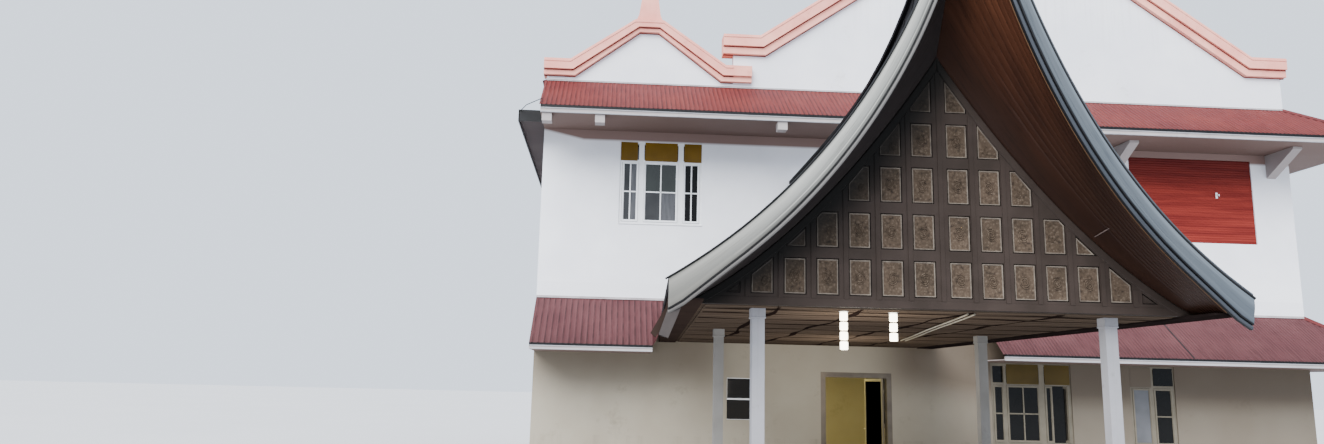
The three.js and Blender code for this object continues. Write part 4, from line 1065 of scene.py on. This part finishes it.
def build_columns():
    """Turned-over collar under each cap and a low plinth."""
    for side, sign in SIDES:
        x = sign * COLUMN_SPAN
        for row, y in COLUMN_ROWS:
            foot = ceiling_at(y) - 0.132
            collar = block("collar", (x - 0.095, y - 0.095, foot - 0.012),
                           (x + 0.095, y + 0.095, foot + 0.012))
            plinth = block("plinth", (x - 0.1, y - 0.1, 0.0), (x + 0.1, y + 0.1, 0.16))
            pick(plinth, lambda middle, normal: normal.z > 0.5)
            bpy.ops.mesh.inset(thickness=0.02, depth=0.02)
            put_down()
            whole = soften(join(f"column_mouldings_{row}_{side}", [collar, plinth]), 0.006)
            finish_piece(whole, column_paint if row == "front" else shaded_back_column_paint)


def edge_half(level):
    """Half-width of the porch roof's front edge at a level."""
    t = (level - 3) / 5
    start, slope, bend, twist = EDGE_FLARE
    return math.exp(start + slope * t + bend * t * t + twist * t ** 3)


def edge_y(level):
    """How far forward the porch roof's front edge stands at a level."""
    above = level - 3
    return FRONT - (9.5253 + 0.309 * above - 0.033 * above * above)


def edge_inward(level):
    """Unit normal of the roof's front edge in X and Z, pointing into the roof, on the right."""
    run = edge_half(level + 0.005) - edge_half(level - 0.005)
    length = math.hypot(run, 0.01)
    return -0.01 / length, run / length


def ridge_level(v):
    return RIDGE_AT_WALL + (TIP_LEVEL - RIDGE_AT_WALL) * v ** 5


def plan_scale(v):
    """The porch roof and its ceiling narrow towards the wall."""
    return 1 - 0.12 * (1 - v)


def roof_point(sign, level, v, depth):
    """Point on the porch roof's outer face, moved in by a depth."""
    share = (level - EAVE_LEVEL) / (TIP_LEVEL - EAVE_LEVEL)
    squash = (ridge_level(v) - EAVE_LEVEL) / (TIP_LEVEL - EAVE_LEVEL)
    across, up = edge_inward(level)
    length = math.hypot(across * squash, up)
    y = FRONT + v * (edge_y(level) + 0.0453 - FRONT)
    half = max(edge_half(level) * plan_scale(v) + across * squash / length * depth, 0.072)
    return Vector((sign * half, y, EAVE_LEVEL + share * (ridge_level(v) - EAVE_LEVEL) + up / length * depth))


def board_width(level):
    """Width of the barge boards, which narrow upwards and widen at their foot."""
    above = max(level - EAVE_LEVEL, 0)
    near_eave = max(0.45 - above, 0) / 0.45
    return 0.265 - 0.028 * above + 0.055 * near_eave ** 2


def ceiling_at(y):
    """Level of the ceiling's underside, which climbs from the wall to the front."""
    return CEILING + CEILING_RISE * (FRONT - y) / (FRONT - EAVE_FRONT)


def edge_point(sign, level, depth, out):
    """Point in the roof's front edge plane: inward by a depth, forward by out."""
    across, up = edge_inward(level)
    return Vector((sign * (edge_half(level) + across * depth), edge_y(level) - out, level + up * depth))


def cut_plumb(piece, sign):
    trim_off(piece, (sign * EAVE_HALF, 0, 0), (sign, 0, 0))
    return trim_off(piece, (sign * 0.0005, 0, 0), (-sign, 0, 0))


def edge_level(v):
    return TRIM_FOOT + (TIP_LEVEL - TRIM_FOOT) * v


def build_barge_boards():
    """Rounded face on each barge board, its trim with a dark seam, and the black edge of the roof outside."""
    for side, sign, paint, trim_paint in (("left", -1, board_left_paint, trim_left_paint),
                                          ("right", 1, board_right_paint, trim_right_paint)):
        def face(u, v):
            level = edge_level(v)
            swell = 0.004 + 0.024 * math.sin(math.pi * min(u * 1.25, 1.0)) + 0.007 * (abs(u - 0.86) < 0.05)
            return edge_point(sign, level, u * (board_width(level) - 0.014), swell)

        def trim(u, v):
            level = edge_level(v)
            return edge_point(sign, level, board_width(level) + 0.006 + u * (TRIM_WIDE - 0.006),
                              -0.03 + 0.004 + 0.014 * math.sin(math.pi * u))

        def black_edge(u, v):
            level = EAVE_LEVEL - 0.02 + (TIP_LEVEL - EAVE_LEVEL + 0.02) * v
            turn = math.tau * u
            middle, radius = (0.001, 0.012) if sign < 0 else (0.04, 0.022)
            return edge_point(sign, level, middle - radius * math.cos(turn), 0.004 + 0.026 * math.sin(turn))

        board = cut_plumb(bent_sheet(f"barge_face_{side}", 14, 90, face, (0, -1, 0), 0.006), sign)
        finish_piece(board, paint, smooth=40)
        strip_piece = cut_plumb(bent_sheet(f"barge_trim_{side}", 6, 90, trim, (0, -1, 0), 0.006), sign)
        finish_piece(strip_piece, trim_paint, smooth=40)
        cap = bent_sheet(f"roof_edge_cap_{side}", 8, 90, black_edge, (sign, 0, 0))
        finish_piece(cap, dark_metal, smooth=60)
    outline = [(-3.36, 2.8), (-3.51, 2.785), (-3.61, 2.49), (-3.5, 2.45), (-3.41, 2.67)]
    tail = strip("barge_trim_tail_left", outline, "y", -9.619, -9.6105)
    finish_piece(soften(tail, 0.003), trim_tail_paint)


def gable_level(half):
    """Level of the porch gable's edge at a distance from its axis."""
    return GABLE_APEX - GABLE_FALL * half + GABLE_EASE * half * half


def lining_point(sign, share, across, depth):
    """Point of the lining between the gable's curved edge and the back of the trim."""
    half = GABLE_HALF * (1 - share)
    at_gable = Vector((half, GABLE_FACE - 0.0003, gable_level(half)))
    level = LINING_FOOT + (LINING_TOP - LINING_FOOT) * share ** 0.9
    in_x, in_z = edge_inward(level)
    inset = board_width(level) + TRIM_WIDE - 0.01
    at_edge = Vector((max(edge_half(level) + in_x * inset, 0.0003), edge_y(level) + 0.076,
                      level + in_z * inset))
    point = at_gable.lerp(at_edge, across) + Vector((-in_x, 0, -in_z)) * depth
    return Vector((sign * max(point.x, 0.0008), point.y, point.z))


def build_lining():
    """Narrow boards that follow the roof's edge, the strip where they meet the trim, and a small stick."""
    for (side, sign), wood, rim_wood in zip(SIDES, (lining_left_wood, lining_right_wood),
                                            (lining_left_wood, lining_rim)):
        def lined(u, v):
            groove = 0.005 if (u * LINING_BOARDS) % 1.0 < 0.12 else 0.0
            return lining_point(sign, v, u, -0.004 + groove)

        def rim(u, v):
            turn = math.tau * u
            return lining_point(sign, v, 0.985 + 0.006 * math.cos(turn), -0.008 + 0.008 * math.sin(turn))

        boards = bent_sheet(f"roof_lining_boards_{side}", LINING_BOARDS * 5, 60, lined, (0, 0.3, -1), 0.012)
        finish_piece(boards, wood, smooth=25)
        finish_piece(bent_sheet(f"lining_rim_{side}", 6, 60, rim, (0, -1, 0)), rim_wood,
                     smooth=60)
    stick = rod("lining_stick", [(1.957, -9.04, 3.899), (1.988, -9.32, 3.96)], 0.0065)
    finish_piece(stick, stick_paint, smooth=60)


def build_porch_roof():
    """Standing seams from ridge to eave on both slopes, and a round cap along the ridge."""
    for side, sign in SIDES:
        seams = []
        levels = [EAVE_LEVEL + 0.02 + (TIP_LEVEL - EAVE_LEVEL - 0.12) * i / 16 for i in range(17)]
        for j in range(1, 24):
            path = [roof_point(sign, level, j / 24, -0.008) for level in levels]
            seams.append(rod("seam", path, 0.01, 4))
        finish_piece(join(f"porch_roof_seams_{side}", seams), dark_sheet, smooth=60)
    tip = edge_y(TIP_LEVEL) + 0.0753
    ridge = [Vector((0, FRONT + (tip - FRONT) * i / 24, ridge_level(i / 24) + 0.05)) for i in range(25)]
    finish_piece(rod("porch_ridge_roll", ridge, 0.055), dark_sheet, smooth=60)


def panel_holes():
    """Openings of the gable frame on the right half: left, right, bottom, top."""
    for bottom, top in PANEL_ROWS:
        for i in range(PANEL_COUNT):
            x = PANEL_INNER + i * PANEL_PITCH
            if gable_level(x + PANEL_LEAST) - GABLE_EDGE >= bottom + PANEL_LEAST:
                yield x, x + PANEL_WIDTH, bottom, top


def carved_panel(x0, x1, bottom, top):
    """One carved panel: a blank cut to the gable's edge, with a rim and a sunk face with scrolls.

    The outermost panels are plain wood, and the ones that the gable's edge leaves low have no scrolls.
    """
    margin = 0.012
    y = GABLE_FACE + 0.004
    blank_piece = block("panel", (x0 + margin, y, bottom + margin),
                        (x1 - margin, GABLE_FACE + 0.029, top - margin))
    ends = [gable_level(x) - GABLE_EDGE - margin * 1.4 for x in (x0, x1)]
    cut_by_edge = ends[1] < top - margin
    if cut_by_edge:
        chord = Vector((x1 - x0, 0, ends[1] - ends[0]))
        trim_off(blank_piece, (x0, 0, ends[0]), (-chord.z, 0, chord.x))
    rim, face = (gable_wood, gable_wood) if x0 > 2.5 else (carved_rim_paint, carving)
    coat(blank_piece, rim)
    blank_piece.data.materials.append(face)
    pick(blank_piece, lambda middle, normal: normal.y < -0.5)
    bpy.ops.mesh.inset(thickness=0.009, depth=0)
    bpy.ops.mesh.inset(thickness=0.006, depth=-0.008)
    blank_piece.active_material_index = 1
    bpy.ops.object.material_slot_assign()
    put_down()
    soften(blank_piece, 0.003)
    if cut_by_edge and (min(top, ends[0]) - bottom) < 0.32:
        return [blank_piece]
    scrolls = []
    upper = min(top, sum(ends) / 2) if cut_by_edge else top
    middle_x, middle_z = (x0 + x1) / 2, (bottom + upper) / 2
    reach = min(x1 - x0, top - bottom) * 0.3
    if cut_by_edge:
        reach *= 0.62
        middle_x -= 0.035
        middle_z -= 0.02
    for turn in range(2):
        path = []
        for step in range(22):
            swing = step / 21
            angle = math.pi * (turn + 2.72 * swing)
            grow = reach * (0.18 + 0.82 * swing)
            path.append((middle_x + grow * math.cos(angle) * 0.82, y + 0.007,
                         middle_z + grow * math.sin(angle)))
        scrolls.append(coat(rod("scroll", path, 0.009, 4), carving))
    return [blank_piece, *scrolls]


def build_gable():
    """Carved panels, raised strips on the posts, and the band along the gable's curved edge."""
    right = join("carved_panels_right", [part for hole in panel_holes() for part in carved_panel(*hole)])
    left = copy_of(right, "carved_panels_left")
    bpy.ops.transform.mirror(constraint_axis=(True, False, False), center_override=(0, 0, 0))
    face_outwards(settle(left))
    finish_piece(right, smooth=35)
    finish_piece(left, smooth=35)
    strips = []
    foot = ceiling_at(GABLE_FACE)
    bottom = foot + 0.1
    for i in range(-PANEL_COUNT, PANEL_COUNT + 1):
        x = i * PANEL_PITCH + (0 if i == 0 else math.copysign(PANEL_INNER - 0.064 - 0.024, i))
        top = min(gable_level(abs(x) + 0.03) - GABLE_EDGE - 0.01, 6.05)
        if top - bottom > 0.15:
            strips.append(block("strip", (x - 0.03, GABLE_FACE - 0.011, bottom),
                                (x + 0.03, GABLE_FACE + 0.004, top)))
    finish_piece(soften(join("gable_post_strips", strips), 0.003), gable_wood)
    for side, sign in SIDES:
        def band(u, v):
            half = GABLE_HALF * (1 - v)
            slope = -GABLE_FALL + 2 * GABLE_EASE * half
            length = math.hypot(1, slope)
            down = 0.004 + 0.1 * u
            out = 0.016 * min(1.0, 6 * min(u, 1 - u) + 0.25)
            return Vector((sign * max(half + slope / length * down, 0.001), GABLE_FACE - out,
                           max(gable_level(half) - down / length, foot + 0.004)))

        edge_band = bent_sheet(f"gable_edge_band_{side}", 8, 40, band, (0, -1, 0), 0.008)
        finish_piece(edge_band, gable_wood, smooth=35)
    base = strip("gable_base_rail", [(GABLE_FACE - 0.012, foot + 0.004), (GABLE_FACE + 0.004, foot + 0.004),
                                     (GABLE_FACE + 0.004, bottom), (GABLE_FACE - 0.006, bottom)],
                 "x", -3.15, 3.15)
    finish_piece(soften(base, 0.003), gable_wood)


def settle_under_roof(piece):
    """Moves a flat layout of the ceiling onto its climbing, narrowing underside."""
    for corner in piece.data.vertices:
        x, y, z = corner.co
        v = (FRONT - y) / (FRONT - EAVE_FRONT)
        corner.co = (x * plan_scale(v), y, z + ceiling_at(y))


def wavy_joint(line, sway, beat, start, broad):
    """Narrow dark strip along an uneven joint between ceiling sheets."""
    along_x = abs(line[0][0] - line[-1][0]) > abs(line[0][1] - line[-1][1])

    def place(u, v):
        x, y = line[round(v * (len(line) - 1))]
        run = x if along_x else y
        drift = sway * (math.sin(beat * run + start) + 0.5 * math.sin(2.3 * beat * run + 2 * start))
        wide = broad * (1 + 0.55 * math.sin(3.1 * run + start))
        if along_x:
            return Vector((x, y + drift + (u - 0.5) * wide * 2, -0.0175))
        return Vector((x + drift + (u - 0.5) * wide * 2, y, -0.0175))

    return bent_sheet("joint", 1, len(line) - 1, place, (0, 0, -1))


def disc(name, radius, depth, middle, sides):
    """Round blank standing upright around its middle."""
    clear_selection()
    bpy.ops.mesh.primitive_cylinder_add(vertices=sides, radius=radius, depth=depth, location=middle)
    bpy.context.object.name = name
    return bpy.context.object


def build_porch_underside():
    """Ceiling sheets with wavy dark joints, the light conduits, and the tubes of the pendant lamps."""
    sheets = []
    marks_x = [-3.03, -2.1, -0.95, 0.4, 1.6, 3.03]
    marks_y = [-8.89, -8.5, -7.9, -7.0, -6.1, -5.1, -4.0, -2.9, -1.5, FRONT - 0.005]
    for x0, x1 in zip(marks_x, marks_x[1:]):
        for y0, y1 in zip(marks_y, marks_y[1:]):
            sheets.append(block("sheet", (x0 + 0.004, y0 + 0.004, -0.016), (x1 - 0.004, y1 - 0.004, 0.006)))
    whole = soften(join("porch_ceiling_sheets", sheets), 0.003, 1)
    settle_under_roof(whole)
    finish_piece(whole, ceiling_wood)
    shares = [i / 40 for i in range(41)]
    joints = []
    for count, x in enumerate(marks_x[1:-1]):
        line = [(x, -8.87 + 8.7 * share) for share in shares]
        joints.append(wavy_joint(line, 0.05, 1.3 + 0.4 * count, count, 0.04))
    for count, y in enumerate(marks_y[1:-1]):
        line = [(-3.0 + 6.0 * share, y) for share in shares]
        joints.append(wavy_joint(line, 0.06, 1.7 - 0.1 * count, count + 9, 0.05))
    whole = join("ceiling_joints", joints)
    settle_under_roof(whole)
    finish_piece(whole, ceiling_joint)
    for run, shift in (("near", 0.0), ("far", 0.09)):
        path = []
        for share in [i / 12 for i in range(13)]:
            y = -3.0 - 5.85 * share
            sag = 0.034 + 0.004 * math.sin(9 * share)
            path.append((1.4 - 1.06 * share + shift, y, ceiling_at(y) - sag))
        finish_piece(rod(f"ceiling_conduit_{run}", path, 0.013), shaded_frame_paint, smooth=60)
    hook = ceiling_at(LAMP_ROW + 0.014)
    for side, x, count in LAMPS:
        tubes = []
        for i in range(count):
            tube = disc("tube", 0.05, 0.09, (x, LAMP_ROW, hook - 0.08 - i * TUBE_PITCH), 20)
            pick(tube, lambda middle, normal: abs(normal.z) > 0.5)
            bpy.ops.mesh.inset(thickness=0.01, depth=0.006)
            put_down()
            tubes.append(soften(tube, 0.004))
        lit = finish_piece(join(f"lamp_tubes_{side}", tubes), lamp_light, smooth=40)
        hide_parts(f"porch_lamp_{side}")
        low = hook - count * TUBE_PITCH
        stem = rod("stem", [(x, LAMP_ROW, low + 0.01), (x, LAMP_ROW, hook)], 0.007)
        rose = soften(disc("rose", 0.065, 0.02, (x, LAMP_ROW, hook - 0.012), 24), 0.006)
        finish_piece(join(f"lamp_stem_{side}", [stem, rose]), hardware, smooth=40)


def build_gutter_shelf():
    """Dark fascia on the shelf's outer edges and the thin rod that holds it."""
    fascia = strip("gutter_shelf_fascia", [(-0.735, 7.57), (-0.7, 7.57), (-0.7, 7.81), (-0.735, 7.83)], "x",
                   LEFT - 0.53, LEFT)
    out, inner = LEFT - 0.535, LEFT - 0.51
    side = strip("side_part", [(out, 7.56), (inner, 7.56), (inner, 7.83), (out, 7.83)], "y", -0.735, BACK)
    finish_piece(soften(join("gutter_shelf_edges", [fascia, side]), 0.004), dark_metal)
    path = [(LEFT + 0.02, FRONT - REACH + 0.02, 7.9), (LEFT - 0.34, FRONT - 0.9, 7.86),
            (LEFT - 0.5, -0.72, 7.8)]
    finish_piece(rod("gutter_shelf_rods", path, 0.009, 4), dark_metal, smooth=60)


def dress_frame():
    """Finishes of the nodes that keep their own shape."""
    finishes = {
        upper_plaster: ["front_wall_upper"], side_plaster: ["left_wall", "right_wall", "back_wall"],
        hall_lining: ["gable_walls_front", "gable_walls_back"],
        lower_plaster: ["front_wall_left", "front_wall_right", "front_wall_over_door"],
        concrete: ["ground_floor", "upper_floor", "roof_deck"],
        coping_paint: ["small_coping_front", "small_coping_back", "large_coping_front", "large_coping_back"],
        upper_sheet: ["upper_awning_roof"],
        lower_sheet: ["lower_awning_left_roof", "lower_awning_right_roof"],
        main_sheet: ["small_roof", "large_roof"],
        soffit_paint: ["upper_awning_eave", "lower_awning_left_eave", "lower_awning_right_eave"],
        shelf_paint: ["left_gutter_shelf"],
        window_paint: ["upper_window_frame", "porch_window_frame"], leaf_paint: ["door_leaf"],
        shaded_frame_paint: ["hall_window_frame", "side_room_window_frame"],
        dark_glass: ["hall_window_glass", "side_room_window_glass"],
        clear_glass: ["upper_window_glass", "porch_window_glass", "right_windows_lower",
                      "right_windows_upper", "back_windows_lower", "back_windows_upper"],
        clad_paint: ["clad_panel"], aluminium: ["door_frame"],
        dark_sheet: ["porch_roof_left", "porch_roof_right", "porch_ridge"],
        left_eave_paint: ["eave_board_left"], right_eave_paint: ["eave_board_right"],
        ceiling_wood: ["porch_ceiling"], gable_wood: ["gable_frame"], panel_backing: ["gable_backing"],
        column_paint: ["column_front_left", "column_front_right"],
        shaded_back_column_paint: ["column_back_left", "column_back_right"],
        board_left_flat: ["barge_board_left"], board_right_flat: ["barge_board_right"],
        lining_flat: ["roof_lining_left", "roof_lining_right"],
    }
    for material, names in finishes.items():
        for name in names:
            for place in cad[name].material_slots:
                place.material = material


def light_up(kind, name, place, power, **settings):
    """Adds one light."""
    bpy.ops.object.light_add(type=kind, location=place)
    light = bpy.context.object
    light.name = name
    light.data.energy = power
    for key, value in settings.items():
        setattr(light.data, key, value)
    return light


def build_set():
    """Pale floor, soft light, and the camera at the picture's own angle."""
    clear_selection()
    bpy.ops.mesh.primitive_plane_add(size=240, location=(3, 0, 0))
    floor = bpy.context.object
    floor.name = "floor"
    material, shader, place = blank("floor_paint", Roughness=0.9)
    material.node_tree.links.new(blend(noise(place, 0.2, 2.0), (186, 187, 189), (178, 179, 182)),
                                 shader.inputs["Base Color"])
    coat(floor, material)
    world = bpy.data.worlds.new("soft_sky")
    bpy.context.scene.world = world
    world.use_nodes = True
    sky = world.node_tree.nodes["Background"].inputs
    sky["Color"].default_value = (0.77, 0.86, 0.99, 1)
    sky["Strength"].default_value = 1.8
    sun = light_up("SUN", "soft_key", (-10, -20, 25), 9.6, angle=math.radians(50))
    sun.rotation_euler = (math.radians(46), 0, math.radians(-30))
    yellow, warm_white = (1.0, 0.88, 0.35), (1.0, 0.93, 0.82)
    light_up("AREA", "hall_light", (1.2, 3.4, 3.2), 600, color=yellow, size=1.6)
    light_up("POINT", "porch_light", (-0.85, -8.0, 1.9), 120, color=warm_white, shadow_soft_size=0.3)
    light_up("POINT", "wall_wash", (0.3, -3.0, 1.9), 165, color=warm_white, shadow_soft_size=0.5)
    # Angles in radians
    yaw, pitch, roll = 0.0557, 0.1778, 0.0232
    ahead = Vector((math.sin(yaw) * math.cos(pitch), math.cos(yaw) * math.cos(pitch), math.sin(pitch)))
    aside = Vector((math.cos(yaw), -math.sin(yaw), 0))
    up = aside.cross(ahead)
    right = aside * math.cos(roll) + up * math.sin(roll)
    top = up * math.cos(roll) - aside * math.sin(roll)
    bpy.ops.object.camera_add()
    camera = bpy.context.object
    camera.name = "picture_camera"
    turn = Matrix((right, top, -ahead)).transposed().to_4x4()
    camera.matrix_world = Matrix.Translation((-4.1752, -19.9017, 1.95)) @ turn
    camera.data.sensor_width = 36
    camera.data.lens = 24.2338
    camera.data.clip_end = 400
    bpy.context.scene.camera = camera


dress_frame()
build_copings()
build_awnings()
build_main_roofs()
build_front_windows()
build_plain_windows()
build_clad_panel()
build_door()
build_columns()
build_barge_boards()
build_lining()
build_porch_roof()
build_gable()
build_porch_underside()
build_gutter_shelf()
build_set()
